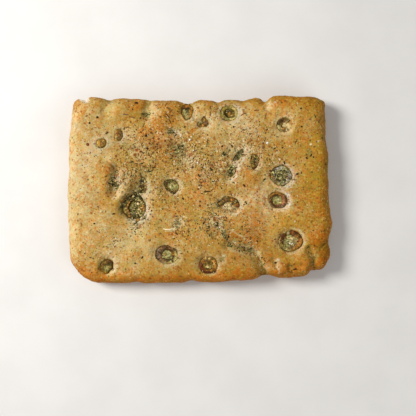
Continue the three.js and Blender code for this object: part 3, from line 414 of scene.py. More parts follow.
                 (-9.4, 1.8, 0.9, "brown"), (0.2, 4.6, 1.1, "olive brown"), (0, 2.6, 1, "brown"),
                 (-2.4, 5.2, 1.1, "amber flesh"), (-2.4, 2.6, 1, "brown"), (-4.8, 2.4, 1.1, "olive brown"),
                 (-4.8, 4.8, 1.1, "olive brown"), (-2.4, 7.2, 1, "khaki"), (6, 4.6, 0.7, "umber")]),
]

# ------------------------------------------------------------------ places on the crust, in mm

# Browned by the oven, paler, and stained by oil and herbs: x, y, amount, and the distance it fades over.
TOASTED = [
    (-40.8, 56.6, 0.75, 14), (-31.6, 40.9, 0.7, 12), (-54.7, 77.8, 0.4, 10), (-25, 70.4, 0.5, 9),
    (-88, 21.5, 0.7, 8), (-89.8, 6.7, 0.4, 9), (49.8, 51, 0.35, 12), (75.6, 77.8, 0.55, 10),
    (89.5, 45.5, 0.5, 16), (47, 11.3, 0.6, 12), (2.6, 48.3, 0.4, 12), (0.8, 6.7, 0.6, 9),
    (-25, -42.3, 0.7, 9), (-18.6, -17.3, 0.4, 9), (0.8, -10.9, 0.6, 9), (-102.7, -79.3, 0.6, 12),
    (-97, -84.8, 0.7, 8), (-22.3, -80.2, 0.6, 8), (-69.4, -78.3, 0.4, 9), (-88.8, -18.3, 0.5, 8),
    (51.6, -26.6, 0.7, 10), (48.8, -46.9, 0.6, 12), (27.6, -26.6, 0.6, 9), (109.8, -43.2, 0.9, 7),
    (77.5, -74.6, 0.9, 5.5), (98.7, -73.7, 0.8, 6), (114.4, -69.1, 0.8, 6), (15.6, -82, 0.7, 7),
    (27.6, -65.4, 0.4, 9), (63.6, -61.7, 0.6, 7), (99.6, -9.9, 0.4, 14), (116, 60, 0.3, 20),
]
PALER = [
    (-85.1, 71.4, 0.8, 7), (-43.6, 71.4, 0.8, 6), (-84.2, 55.7, 0.5, 10), (-101.8, 34.4, 0.4, 12),
    (-65.7, 51, 0.5, 9), (-82.4, 31.6, 0.6, 6), (-56.5, 29.8, 0.5, 10), (-20.5, 52, 0.8, 5),
    (-45.5, -24, 0.5, 5), (-60, -31.5, 0.5, 3.5), (-4.8, 29.8, 0.4, 12), (-67.6, 13.1, 0.6, 9),
    (-44.5, 11.3, 0.4, 12), (45.1, 57.5, 0.4, 9), (43.3, 35.3, 0.7, 5), (35.9, 20.5, 0.6, 4),
    (-60.2, -34.9, 0.7, 7), (-75.9, -47.8, 0.6, 9), (-47.3, -22, 0.6, 5), (-46.3, -4.4, 0.7, 5),
    (-73.1, -1.6, 0.7, 5), (-75.9, -62.6, 0.4, 9), (-57.4, -72.8, 0.3, 10), (-15.8, -58, 0.3, 10),
    (-21.4, -31.2, 0.5, 6), (48.8, -7.2, 0.5, 9), (18.3, -23.8, 0.3, 6), (18.3, -34.9, 0.6, 5),
    (51.6, -58, 0.7, 5), (23, -63.5, 0.5, 5), (20, 56, 0.35, 18), (50, 54, 0.35, 16), (76, 66, 0.35, 13),
    (58, 0, 0.35, 11), (68, -24, 0.3, 10), (-106, 10, 0.35, 15), (-108, -26, 0.4, 18),
    (-86, -30, 0.35, 11), (-64, -46, 0.4, 11), (-48, -56, 0.4, 11), (8, 12, 0.3, 9), (30, 36, 0.3, 12),
    (-34, -62, 0.3, 8), (96, 62, 0.2, 12), (-84, 74, 0.9, 6), (-42, 71, 0.4, 5),
]
STAINED = [
    (-78.5, 4.2, 0.25, 5), (-92.5, 72.3, 0.35, 5), (-48.6, 67.6, 0.8, 4), (-49.6, 73, 0.7, 4),
    (-50, 79, 0.6, 4), (-26, 52.9, 0.6, 3.5), (-18.6, 37.2, 0.8, 8), (-44.5, 17.8, 0.4, 6),
    (23.9, 33.5, 0.45, 6), (4.5, 18.7, 0.35, 8), (71, 38.1, 0.5, 5), (-20.5, -31.2, 0.5, 5),
    (-60.2, -1.6, 0.7, 6), (-79.6, -48.8, 0.25, 8), (6.3, -34, 0.5, 6), (23.9, -43.2, 0.6, 5),
    (28.5, -51.5, 0.8, 4), (43.3, -56.1, 0.8, 5), (51.6, -65.4, 0.5, 5), (59.9, -73.7, 0.9, 4),
    (106.1, -65.4, 0.7, 4), (107, -73, 0.6, 4), (11.5, -17.3, 0.4, 3), (20.5, 70.5, 0.8, 4),
    (-11, 80, 0.6, 4), (-76, 48, 0.3, 5),
]

# Where dried herbs lie thickest: x, y, share and the distance it fades over. The first list places the
# larger flakes, as in the solid, and the second the fine ones.
FLAKE_PATCHES = [
    (-22, 36, 1, 32), (-60, -4, 0.9, 22), (20, 22, 0.8, 34), (14, -36, 0.7, 26), (62, 26, 0.6, 30),
    (-30, 62, 0.5, 26),
]
HERB_PATCHES = [
    (-50, 36, 1, 26), (-64, 14, 1, 20), (-14, 34, 1, 26), (14, 20, 0.95, 26), (-32, 0, 0.8, 24),
    (18, -30, 0.95, 18), (-18, -34, 0.6, 22), (42, -42, 0.6, 16), (48, 42, 0.7, 24), (-31, 72, 0.8, 15),
    (12, 72, 0.5, 14), (62, 28, 0.6, 20), (-58, -30, 0.5, 16),
]
HERB_ELSEWHERE = 0.12

# Duller, darker crust, or with a minus brighter: x, y, amount, and the distance it fades over. Partly the
# crust's own tone and partly painted light and shade, such as the darker west wall of slice 14's pit, and
# the brighter east rim and hollow at x -79, y 10, which lie in shade.
DUSKY = [
    (-78, 42, 0.8, 17), (-56, 16, 0.7, 16), (-34, 2, 0.8, 15), (-88, 60, 0.6, 12), (-87, 76, 1, 10),
    (-70, 66, 0.7, 9), (-53, 76, 0.6, 11), (-17, 76, 0.8, 9), (-16, 27, 0.7, 8), (-104, 5, 0.5, 23),
    (-106, -26, 0.5, 12), (-72, -20, 1.1, 8), (-70, -44, 0.4, 11), (-15, -62, 0.9, 11),
    (-18, -75, 0.8, 11), (-36, -74, 0.5, 9), (-90, -74, 0.8, 9), (3, -73, 0.8, 9), (22, -44, 0.7, 12),
    (40, -50, 0.5, 14), (21, -61, 0.6, 8), (33, -73, 0.9, 10), (58, -65, 0.7, 10), (115, -59, 1.2, 12),
    (113, -72, 0.4, 8), (30, 60, 0.3, 12), (95, 60, 0.6, 9), (20, -22, -1, 8), (80, -23, -0.9, 13),
    (58, -22, -0.4, 10), (94, -6, -0.6, 8), (3, 18, -0.7, 10), (22, 27, -0.3, 15), (3, -40, -0.4, 8),
    (66, 77, -0.8, 16), (106, 42, -0.7, 13), (113, 66, -0.6, 11), (113, 12, -0.4, 10),
    (-48, -16, -0.3, 12), (-72, -78, -0.6, 9), (74, -40, -0.4, 9), (-90, 25, 0.5, 8), (-36, 22, 0.4, 13),
    (-70, 56, 0.3, 8), (-79, 10, -1, 6), (-71, 13, 0.6, 5), (-65, -4, -0.5, 5), (-50, 17, 0.5, 5),
]

# Where the crust leans to orange, or with a minus to grey and green: x, y, amount, distance.
WARMER = [
    (-19, 78, 1.4, 11), (3, 80, 0.4, 12), (-90, 77, 0.5, 9), (-54, 76, 0.5, 9), (76, 72, 0.5, 12),
    (94, 59, 1, 10), (-56, 60, 0.9, 9), (51, 10, 0.9, 10), (78, -28, 0.9, 11), (112, -43, 1, 11),
    (94, -60, 0.5, 11), (-90, -74, 1.1, 10), (-24, -84, 0.5, 9), (-3, -85, 1.1, 9), (29, -85, 1.2, 9),
    (40, -81, 1, 10), (3, -24, 0.9, 8), (20, -23, 0.8, 7), (-53, -57, 0.4, 9), (-90, 10, 0.4, 9),
    (116, -20, 0.5, 9), (114, -64, 0.5, 9), (-74, 48, -1.2, 12), (-95, 43, -1, 10), (-16, 43, -0.5, 9),
    (76, 27, -0.6, 9), (91, -4, -1.1, 11), (60, -3, -0.3, 11), (-53, -24, -1.2, 9), (-72, -42, -0.6, 10),
    (-80, 9, -1, 6), (114, 60, -0.9, 14), (115, 20, -0.4, 12), (24, 78, -0.9, 10), (42, 78, -0.5, 8),
    (20, -64, -0.6, 10), (3, 18, -0.5, 9), (-71, -72, -0.6, 8), (-73, -22, -0.6, 6),
]

# Small creases of the crust: half width, depth, side of the pale lip (1 left of the path, -1 right, 0 none),
# how stained the crease floor is, partly as painted shade, and its path. The lips lie mostly on the side
# toward the light, and their paleness is partly a painted highlight.
CREASES = [
    (0.8, 0.6, 0, 0.5, [(10.5, -10), (12, -17), (14, -25)]),
    (1.2, 1.2, 1, 0.8, [(14.5, -26), (19, -35), (23.5, -43.5), (29, -51), (38, -55), (46.5, -56.8),
                        (51.5, -59.2), (55.5, -65), (59.6, -73), (62.8, -79)]),
    (1.2, 0.7, 0, 0.6, [(-78.2, 14.4), (-81, 9.5), (-79, 5.4), (-75.8, 3)]),
    (1, 1.3, 1, 0.7, [(-68, 10), (-73.5, 4), (-77.6, -0.6), (-79.8, -6.5)]),
    (3.4, 0.5, 0, 1, [(-57.5, -6), (-54.5, -1), (-52.8, 4), (-53, 9)]),
    (0.9, 0.5, -1, 0.4, [(-50, -12), (-51.2, -4.5), (-48.8, 2.5), (-48.6, 8)]),
    (1.7, 0.5, 0, 1, [(-73.5, -18), (-72, -13), (-68.5, -8), (-62, -4.5), (-56, -1)]),
    (0.9, 0.9, 1, 0.6, [(-30, 57.5), (-25, 53.5), (-18.5, 49)]),
    (0.6, 0.4, 1, 0, [(43.8, 37), (39.5, 28), (35.8, 22.3), (35, 15.5), (30, 10)]),
    (1.1, 0.8, 0, 0.9, [(29.6, 36.4), (24, 32), (19.5, 31.6)]),
    (1, 0.7, 1, 0.2, [(-83, 82), (-87.3, 76.5), (-93.5, 70.5)]),
    (0.9, 1.2, 0, 0.8, [(101.5, -53), (106, -62), (106.7, -69.5), (107.5, -76)]),
    (0.9, 1, 0, 0.7, [(119.6, -48), (111.5, -58), (108, -63.5)]),
    (0.8, 0.9, 1, 0.3, [(72, -66), (71, -71), (73, -77)]),
    (0.8, 0.8, 0, 0.6, [(84, -70), (82.5, -76), (78, -79.5)]),
    (1, 0.8, 0, 0.8, [(16, -8), (18.5, -13), (17, -17)]),
    (1.2, 0.8, 1, 0.7, [(-19, -27), (-22, -32), (-26, -36)]),
    (0.8, 0.6, 1, 0.3, [(-46, 84), (-47, 76), (-43, 70)]),
    (0.7, 0.6, 1, 0.4, [(-86, 30), (-84, 25), (-80, 21)]),
    (0.8, 0.5, -1, 0.3, [(28, -36), (38, -41), (47, -48)]),
]

# Low rises: x, y, height, how wide.
RISES = [
    (84.9, 59.4, 2.4, 3.4), (82.6, 55.6, 1.4, 2.4), (-84.5, 20, 1.5, 5), (-79, 18, 1.4, 4.5),
    (-76, 12, 0.8, 4), (-87, 2, 1.5, 5), (-70, -2, 1.2, 4.5), (-47.4, -7, 1.1, 3.4), (76.7, -73.3, 1.8, 5),
    (99.5, -75.5, 1.3, 4.5), (114, -69, 1.2, 4.5), (-73, 79, 1, 7), (-98, 79, 0.8, 7), (20, -80, 0.9, 7),
    (44, -70, 1.2, 8), (-50, -80, 0.7, 8), (-38, 61, 0.8, 7), (-32, 42, 0.9, 7), (52, 12, 0.9, 6),
    (60, 22, 0.6, 5), (40, -38, 0.8, 8), (104, 30, 0.6, 8), (110, -30, 0.8, 7), (-100, -40, 0.7, 8),
]

# Small heaps of herbs: x, y, how many bits, and how far they spread.
HERB_HEAPS = [
    (-18.6, 37.2, 80, 5), (-26, 52.9, 22, 2.2), (-47, 17.8, 30, 4), (-52.5, 9.5, 22, 2.2),
    (-77, 15.5, 10, 2), (-78, 6, 30, 3.4), (-57.5, -3, 26, 3.4), (-20.5, -31.2, 30, 3.6),
    (4.5, 18.7, 26, 6.5), (23.9, 33.5, 18, 3.6), (5, -34, 20, 5.5), (23.9, -43.2, 26, 3.4),
    (14, -24.5, 10, 2.8), (17.5, -32.5, 18, 2.8), (-81.6, 9, 20, 2.2), (-52.4, -25.6, 14, 2),
    (-64, -28, 14, 2.6), (-57.5, -29.5, 8, 2.6), (-51, -27, 12, 2.4), (28.5, -51.5, 24, 2.2),
    (43.3, -56.1, 34, 4), (11.5, -20, 12, 3.6), (-60.2, -34.9, 14, 4.6), (-79.6, -48.8, 16, 5.4),
    (76.2, 12.7, 130, 6.4), (28, 70.8, 18, 5.4), (85, -48.1, 14, 5.4), (71, 38.1, 10, 3.6),
    (-57, -17, 80, 6.2), (29.9, 17.2, 6, 3.2), (36.5, 31.4, 14, 3.4), (51.8, 26.2, 22, 4),
    (27.6, -12, 26, 6.2), (1.7, 4, 16, 3.6), (-60, 22, 14, 5), (60, -67, 8, 3), (-56, -1.5, 26, 2.8),
    (-66, -7, 22, 3), (-71, -14, 18, 2.4), (-79.6, 4.6, 24, 2.4), (-76, 3, 20, 2.2), (24, 32, 20, 2.6),
    (36, -54, 14, 3.4), (47, -57, 9, 3), (23, -41, 16, 2.6), (15.5, -13, 14, 2), (-27, 55, 16, 2.4),
    (-51, 69, 24, 4), (55, -64, 4, 2.2), (61, -76, 4, 2),
]
# The larger flakes, as in the solid: how many, their size in mm, and how far they keep from the slices.
HERB_FLAKES = 60
FLAKE = dict(long=1.9, wide=1.15, thick=0.75, smallest=0.75)
FLAKE_MARGIN = 4.2
FLAKE_SEED = 20617
FLAKE_FIELD = (0.86, 0.84)  # share of the half length and half width that they lie within
LEAF_SHARE = dict(long=0.8, wide=0.5, thick=0.7)  # of a solid flake's size that its leaf has

# Stems lying on the crust: x, y, turn, length, bend, radius, and colour. The first six are in the solid.
STEMS = [
    (-25, -37.5, -8, 9.5, 1.2, 0.5, "dough"), (-66, 57, -10, 6, 0.3, 0.45, "brown"),
    (-27, 62.5, -62, 5.5, 0.2, 0.45, "umber"), (-21, 50.5, 40, 5, 0.5, 0.45, "dark olive"),
    (47, 44, 34, 6, 0.4, 0.4, "brown"), (60, -38.5, -14, 5, 0.3, 0.45, "brown"),
    (7, -2.3, 6, 6, 0.2, 0.6, "dark olive"), (13, -1, 30, 7, 1.2, 0.3, "brown"),
    (41, 69.6, 30, 6, 0.4, 0.45, "rust"), (53, 73, 4, 4.5, 0.3, 0.45, "rust"),
    (61.5, 66.8, 70, 4.5, 0.3, 0.4, "brown"), (11, 76.2, 80, 4, 1, 0.3, "brown"),
    (-67.8, 68.9, -5, 5.5, 0.3, 0.6, "plum"), (-29.6, 67.7, -52, 6.5, 0.6, 0.5, "umber"),
    (-30.4, -36.4, -6, 12, -0.8, 0.6, "crumb"), (-28, -39.2, -3, 8, 0.6, 0.4, "pale sage"),
]

# Single specks that stand out: x, y, half length, half width, turn, and kind.
SPECKS = [
    (-58.4, 80.3, 2.1, 1.5, 10, "dark"), (-94.4, 66.9, 1.3, 1, 120, "dark"),
    (-101.8, 61.6, 1.1, 0.9, 70, "dark"), (-103.4, 41.6, 1.7, 1.5, 0, "red"),
    (-69.5, 56.1, 1.4, 0.6, 15, "dark"), (94.1, 74.6, 1, 0.8, 20, "dark"), (32, 57.8, 1, 0.9, 0, "dark"),
    (95, 58.1, 1.1, 0.8, 40, "dark"), (99.6, 28.9, 1.6, 0.7, -40, "dark"),
    (103.8, 31.6, 1.6, 0.7, 60, "dark"), (105.7, 29.8, 1.2, 0.6, -60, "dark"),
    (90.9, 14.1, 1.5, 0.9, 10, "dark"), (41.7, 3.4, 1.8, 0.9, -50, "dark"), (1.7, 6.2, 1.1, 0.9, 0, "red"),
    (2.2, 3.4, 1.1, 0.9, 30, "red"), (-1, 0.2, 1.1, 0.9, 70, "red"), (42.8, -11.8, 1.2, 0.7, 20, "dark"),
    (43.8, -13.2, 0.9, 0.6, 100, "dark"), (41.6, -14.1, 0.8, 0.6, 60, "dark"),
    (-79, -22.7, 1.5, 0.8, 0, "dark"), (-96.7, -31.7, 1.2, 0.7, 20, "dark"),
    (-52.8, -63.1, 1.6, 0.7, 60, "dark"), (-59.3, -68.6, 1, 0.8, 0, "dark"),
    (-14.9, -8.6, 1.1, 0.9, 0, "dark"), (71, -68.2, 1.4, 0.8, 30, "dark"),
    (89.5, -74.4, 2.6, 0.8, 8, "dark"), (107, -52.3, 1, 0.8, 0, "red"), (77, 38.5, 0.9, 0.8, 0, "dark"),
    (-6, 20, 1.2, 0.7, 40, "dark"), (21.3, 39.5, 1.1, 0.6, 40, "dark"), (-77.2, 30.9, 1.2, 0.9, 0, "red"),
    (-72.5, 38.2, 1.2, 1, 30, "red"), (-42.6, 47.2, 1.2, 0.9, 20, "red"), (-37.4, 46.6, 1.2, 1, 60, "red"),
    (-31.6, 44.8, 1.2, 0.9, 0, "red"), (-35.8, 38.4, 1.3, 0.9, 40, "red"),
    (-46.2, 42.6, 1.2, 0.9, 0, "red"), (-40.6, 39.4, 1.1, 0.8, 80, "red"),
    (-29.2, 40.8, 1.1, 0.8, 10, "red"), (-47.8, 37.6, 1.3, 1.1, 0, "dark"),
    (-33.4, 50.6, 1.1, 0.8, 0, "red"), (-44.8, 52.4, 1.1, 0.8, 30, "red"),
    (-38.8, 33.8, 1.1, 0.8, 0, "red"), (-26.2, 46.4, 1, 0.8, 70, "red"), (0.8, -11.4, 1.2, 0.9, 10, "red"),
    (0.6, -15.2, 1.2, 1, 40, "red"), (8, -14.6, 1.1, 0.9, 0, "red"), (-49.1, 49.6, 1.4, 1.1, 30, "dark"),
]
# Single grains of salt: x, y, and half size.
GRAINS = [
    (63.6, 43.2, 2), (-8.5, 46, 1.7), (-1.3, 24.4, 1.3), (19, -35.2, 1.1), (-23, 26, 1), (5, 20.5, 1),
    (-5, 36, 0.9), (-39.8, 2, 0.9), (-77, -45.5, 1), (-46.5, 6, 0.9), (87, -50.5, 0.9),
]

# Bits of olive and soft lumps in and round the pits: x, y, half length, half width, thickness, turn, colour.
LUMPS = [
    (28.3, 70.6, 1.2, 1.8, 1.6, -30, "gold brown"), (26.8, 72.6, 1, 0.7, 1.1, 0, "umber"),
    (3.6, 59.4, 1.3, 1.5, 1.6, 20, "amber flesh"), (5.4, 64.6, 1, 1.3, 1.3, 10, "gold brown"),
    (2.6, 62, 1.3, 1, 1.3, 60, "olive drab"), (6.6, 61, 1.2, 1, 1.2, 0, "brown"),
    (78.6, 56.4, 1.5, 1.4, 1.6, 10, "gold brown"), (77.6, 57.9, 1, 0.9, 1.2, 0, "brown"),
    (76.6, 56.6, 0.8, 0.9, 1.2, 0, "khaki"), (76.4, 61, 1.3, 1.1, 1.4, 40, "olive brown"),
    (-65.2, -12.2, 0.7, 1.5, 1.5, -28, "amber flesh"), (-66.6, -14.6, 0.9, 1.6, 1.5, -14, "gold brown"),
    (-67.2, -17.2, 0.7, 1.2, 1.4, 2, "brown"), (-66.4, -19.8, 0.9, 1.4, 1.5, 14, "gold brown"),
    (-65.2, -22.2, 1, 1.5, 1.5, 32, "brown"), (-65, -25, 1.3, 1.1, 1.3, 0, "gold brown"),
    (-65.4, -22.6, 0.6, 0.8, 1.3, 0, "rose"), (-56.9, -13.3, 1.7, 1.5, 1.8, 30, "dough"),
    (-55.9, -18.7, 1.2, 0.9, 1.5, 60, "straw"), (-56.4, -21.7, 1.4, 0.9, 1.5, -30, "khaki"),
    (-54.6, -20.2, 0.8, 1, 1.4, 0, "straw"), (-58.2, -22.6, 0.9, 0.7, 1.3, 40, "straw"),
    (-53.2, -17, 0.9, 0.7, 1.3, 20, "dough"), (-57.6, -16.2, 0.8, 0.6, 1.2, 70, "olive drab"),
    (-51, -12.6, 0.9, 0.8, 1.2, 0, "gold brown"), (-54.9, -10.6, 0.8, 0.7, 1.1, 0, "straw"),
    (-52.2, -15.4, 1.4, 1.2, 1.4, 0, "gold brown"), (-51.6, -19.2, 1.3, 1.1, 1.4, 20, "amber flesh"),
    (-50.3, -21, 1.2, 0.9, 1.2, 60, "dough"), (-58.8, -9.6, 1.2, 0.9, 1.2, 30, "sage"),
    (-57, -28.6, 2.2, 1.8, 1.6, 0, "gold brown"), (-53.6, -12.2, 1.3, 1, 1.2, 40, "khaki"),
    (-54.4, -24.2, 1.4, 1, 1.2, 10, "khaki"), (-61.4, -6.4, 1.3, 0.9, 1.2, 60, "straw"),
    (-57.6, -4.4, 1.2, 0.9, 1.2, 20, "pale sage"), (80.8, 11.4, 0.9, 0.8, 1, 0, "rust"),
    (73.6, 15.6, 1.3, 1, 1.1, 30, "khaki"), (75.4, 10.6, 1.2, 0.9, 1, 80, "pale sage"),
    (67.8, 11.6, 0.9, 0.8, 1, 0, "amber flesh"), (25.3, -9.6, 1.5, 1.3, 1.4, 10, "brown"),
    (30.2, -9.9, 1.1, 1.6, 1.4, 20, "amber flesh"), (30.4, -12.2, 0.9, 1.1, 1.3, 0, "gold brown"),
    (36, -15, 1.4, 1.2, 1.4, 0, "rust"), (32.6, -14.9, 1.3, 0.9, 1.3, 0, "amber flesh"),
    (20.6, -12.6, 1.6, 1.5, 1.5, 20, "olive brown"), (22.8, -11.4, 1.2, 1.1, 1.3, 40, "olive brown"),
    (33.4, -12.2, 1.2, 0.6, 1.4, 45, "khaki"), (34.6, -12, 1, 0.8, 1.3, 0, "umber"),
    (25, -14.6, 2, 1.4, 1.4, 0, "dough"), (27.8, -14.6, 1.7, 1.3, 1.4, 0, "dough"),
    (86.9, -45.9, 1.5, 1.3, 1.4, 20, "dough"), (84.7, -50.2, 0.9, 0.8, 1, 20, "torn dough"),
    (85.9, -51.2, 0.6, 0.5, 0.8, 20, "torn dough"), (-50.4, 7.4, 1.1, 0.8, 1.3, 40, "pale sage"),
    (-54.6, 5.4, 1, 0.8, 1.3, 40, "umber"), (-54.6, 7.8, 1.6, 1.3, 1.6, 30, "dark olive"),
    (-52.6, 8.4, 1.2, 1, 1.4, 0, "umber"), (103.6, 41.7, 1.8, 1.2, 0.9, 20, "dough"),
    (-12.9, 72.2, 0.8, 1.4, 1.3, 20, "sage"), (-12, 69.8, 0.8, 1.2, 1.2, 0, "khaki"),
]

# Spots of the crust with a colour of their own: x, y, half size, share, and colour. The two deep green
# spots on the west wall of slice 14's pit are partly oil stain and partly painted shade.
PAINTED = [
    (-108, 85.5, 4.2, 0.95, "torn dough"), (-105.5, 83, 3, 0.8, "torn dough"),
    (-12, 84.5, 4, 0.2, "dough"), (60, -81, 3.5, 0.5, "deep green"), (21, -65, 2.4, 0.8, "olive drab"),
    (-55.8, 1.2, 1.8, 0.7, "umber"), (-72.2, -16.5, 1.8, 0.6, "deep green"),
    (-71.6, -21, 1.8, 0.6, "deep green"), (-35, 42, 4, 0.3, "dark toast"), (-41, 41, 5, 0.35, "dark toast"),
]

# ------------------------------------------------------------------ the height function, as in the solid


def fade_around(x, y, spot_x, spot_y, wide):
    return np.exp(-((x - spot_x) ** 2 + (y - spot_y) ** 2) / wide ** 2)


def summed(x, y, spots):
    """The sum of spots of (x, y, amount, distance it fades over)."""
    return sum(amount * fade_around(x, y, *middle, wide) for *middle, amount, wide in spots)


def in_slice_axes(x, y, slice_):
    turn = math.radians(slice_["turn"])
    dx, dy = x - slice_["x"], y - slice_["y"]
    return dx * math.cos(turn) + dy * math.sin(turn), dy * math.cos(turn) - dx * math.sin(turn)


def distance_from_olive(x, y, slice_, margin):
    along, across = in_slice_axes(x, y, slice_)
    return np.hypot(along / (slice_["long"] + margin), across / (slice_["short"] + margin))


def outline_point(a, b):
    """Points of the outline for (a, b) on the edge of the square from -1 to 1."""
    x, y = a * HALF_LENGTH, b * HALF_WIDTH
    nx = np.where(np.abs(a) >= np.abs(b), np.sign(a), 0.0)
    ny = np.where(nx == 0, np.sign(b), 0.0)
    west, south = x < 0, y < 0
    radius = np.select([west & south, west, south], [CORNER_RADIUS["SW"], CORNER_RADIUS["NW"],
                                                     CORNER_RADIUS["SE"]], CORNER_RADIUS["NE"])
    over_x = np.abs(x) - (HALF_LENGTH - radius)
    over_y = np.abs(y) - (HALF_WIDTH - radius)
    corner = (over_x > 0) & (over_y > 0)
    far = np.where(corner, np.hypot(over_x, over_y), 1)
    nx = np.where(corner, np.sign(x) * over_x / far, nx)
    ny = np.where(corner, np.sign(y) * over_y / far, ny)
    x = np.where(corner, np.sign(x) * (HALF_LENGTH - radius) + nx * radius, x)
    y = np.where(corner, np.sign(y) * (HALF_WIDTH - radius) + ny * radius, y)
    out = summed(x, y, LOBES)
    return x + nx * out, y + ny * out


def outline_table(samples=1440):
    angle = np.arange(samples) / samples * 2 * np.pi
    reach = np.maximum(np.abs(np.cos(angle)), np.abs(np.sin(angle)))
    x, y = outline_point(np.cos(angle) / reach, np.sin(angle) / reach)
    return x, y


OUTLINE_X, OUTLINE_Y = outline_table()
OUTLINE_ANGLE = np.arctan2(OUTLINE_Y, OUTLINE_X)
OUTLINE_RADIUS = np.hypot(OUTLINE_X, OUTLINE_Y)


def share_of_the_way_out(x, y):
    order = np.argsort(OUTLINE_ANGLE)
    radius = np.interp(np.arctan2(y, x), OUTLINE_ANGLE[order], OUTLINE_RADIUS[order], period=2 * np.pi)
    return np.hypot(x, y) / radius


def puffed_height(x, y):
    crown = (1 - (x / HALF_LENGTH) ** 2) * (1 - (y / HALF_WIDTH) ** 2)
    return EDGE_HEIGHT + CROWN_RISE * np.maximum(0, crown) + summed(x, y, DOMES)


def beside_path(x, y, path):
    """How far places are from a path: plus on its left, minus on its right."""
    nearest = np.full(np.shape(x), 1e3)
    for (ax, ay), (bx, by) in zip(path[:-1], path[1:]):
        length = math.hypot(bx - ax, by - ay)
        dx, dy = (bx - ax) / length, (by - ay) / length
        along = (x - ax) * dx + (y - ay) * dy
        across = (y - ay) * dx - (x - ax) * dy
        away = np.hypot(across, along - np.clip(along, 0, length))
        nearest = np.where(away < np.abs(nearest), np.where(across < 0, -away, away), nearest)
    return nearest


def hollow_depth(x, y):
    """How deep the dimples and pits are together: the cube root of their cubes' sum."""
    total = 0
    for path, wide, deep in DIMPLES:
        total = total + (deep / (1 + (np.abs(beside_path(x, y, path)) / wide) ** DENT_SHARPNESS)) ** 3
    for slice_ in OLIVES:
        dent = distance_from_olive(x, y, slice_, DENT_MARGIN) ** DENT_SHARPNESS
        pit = distance_from_olive(x, y, slice_, PIT_MARGIN) ** PIT_SHARPNESS
        total = total + (DENT_DEPTH / (1 + dent)) ** 3 + (slice_["pit"] / (1 + pit)) ** 3
    return np.cbrt(total)


def rolled_over(height, share):
    out = np.clip((share - RIM_START) / (1 - RIM_START), 0, 1)
    return WIDEST_HEIGHT + (height - WIDEST_HEIGHT) * (1 - out ** RIM_POWER) ** (1 / RIM_POWER)


def crust_height(x, y, share=None):
    share = share_of_the_way_out(x, y) if share is None else share
    return rolled_over(puffed_height(x, y) - hollow_depth(x, y), share)


# ------------------------------------------------------------------ noise and random numbers


def hashed(cell, seed):
    mixed = cell[..., 0] * 73856093 ^ cell[..., 1] * 19349663 ^ cell[..., 2] * 83492791 ^ seed * 40503
    mixed = ((mixed ^ (mixed >> 13)) * 1274126177) & 0xFFFFFFFF
    mixed = ((mixed ^ (mixed >> 15)) * 739391) & 0xFFFFFFFF
    return ((mixed ^ (mixed >> 16)) & 0xFFFF) / 32767.5 - 1


def lattice_noise(points, size, seed):
    """Smooth noise from -1 to 1 in lumps about `size` mm across."""
    scaled = points / size + 512
    cell = np.floor(scaled).astype(np.int64)
    t = scaled - cell
    t = t * t * (3 - 2 * t)
    total = 0
    for corner in np.ndindex(2, 2, 2):
        weight = np.prod(np.where(np.array(corner) == 1, t, 1 - t), axis=-1)
        total = total + weight * hashed(cell + np.array(corner), seed)
    return total


def smooth_step(low, high, value):
    t = np.clip((value - low) / (high - low), 0, 1)
    return t * t * (3 - 2 * t)


def on_top(z):
    """1 on the crust, fading to 0 down the sides."""
    return smooth_step(13, 20, z)


def layered(points, *layers):
    """Noises of (amount, lump size in mm, seed), added up."""
    return sum(amount * lattice_noise(points, size, seed) for amount, size, seed in layers)


def mulberry(seed):
    """The solid's own random numbers, so that its larger flakes are found again."""
    state = seed
    while True:
        state = (state + 0x6D2B79F5) & 0xFFFFFFFF
        t = ((state ^ (state >> 15)) * (1 | state)) & 0xFFFFFFFF
        t = ((t + (((t ^ (t >> 7)) * (61 | t)) & 0xFFFFFFFF)) & 0xFFFFFFFF) ^ t
        yield ((t ^ (t >> 14)) & 0xFFFFFFFF) / 4294967296


# ------------------------------------------------------------------ meshes

# The solid's group is moved so that the middle of its box is the origin; the pieces move with it.
low_corner, high_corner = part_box("bread")
SHIFT = np.array([
    (low_corner[0] + high_corner[0]) / 2 / MM - (OUTLINE_X.min() + OUTLINE_X.max()) / 2,
    (low_corner[1] + high_corner[1]) / 2 / MM - (OUTLINE_Y.min() + OUTLINE_Y.max()) / 2,
    0,
])


def new_piece(name, points, faces, material, node, slot, colours=None, **masks):
    """A piece from points in the loaf's own millimetres, with colours and masks on its points."""
    mesh = bpy.data.meshes.new(name)
    mesh.from_pydata(((np.asarray(points) + SHIFT) * MM).tolist(), [], faces)
    mesh.polygons.foreach_set("use_smooth", [True] * len(mesh.polygons))
    for key, value in masks.items():
        layer = mesh.attributes.new(key, "FLOAT", "POINT")
        layer.data.foreach_set("value", np.asarray(value, dtype=np.float32))
    if colours is not None:
        layer = mesh.attributes.new("paint", "FLOAT_COLOR", "POINT")
        layer.data.foreach_set("color", np.asarray(colours, dtype=np.float32).ravel())
    mesh.materials.append(material)
    mesh.validate()
    piece = bpy.data.objects.new(name, mesh)
    bpy.context.scene.collection.objects.link(piece)
    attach(piece, "root")
    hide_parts(node)


def vertex_normals(points, faces):
    """Unit normals of the points of a mesh of quads and triangles, by the area of the faces round them."""
    normals = np.zeros_like(points)
    for corners in (4, 3):
        some = np.array([face for face in faces if len(face) == corners])
        if len(some):
            face_normal = np.cross(points[some[:, 2]] - points[some[:, 0]],
                                   points[some[:, -1]] - points[some[:, 1]])
            for k in range(corners):
                np.add.at(normals, some[:, k], face_normal)
    return normals / np.maximum(np.linalg.norm(normals, axis=1, keepdims=True), 1e-9)


def between(p, q, around):
    """Faces from the ring of points that starts at p to the one that starts at q."""
    return [(p + k, p + (k + 1) % around, q + (k + 1) % around, q + k) for k in range(around)]


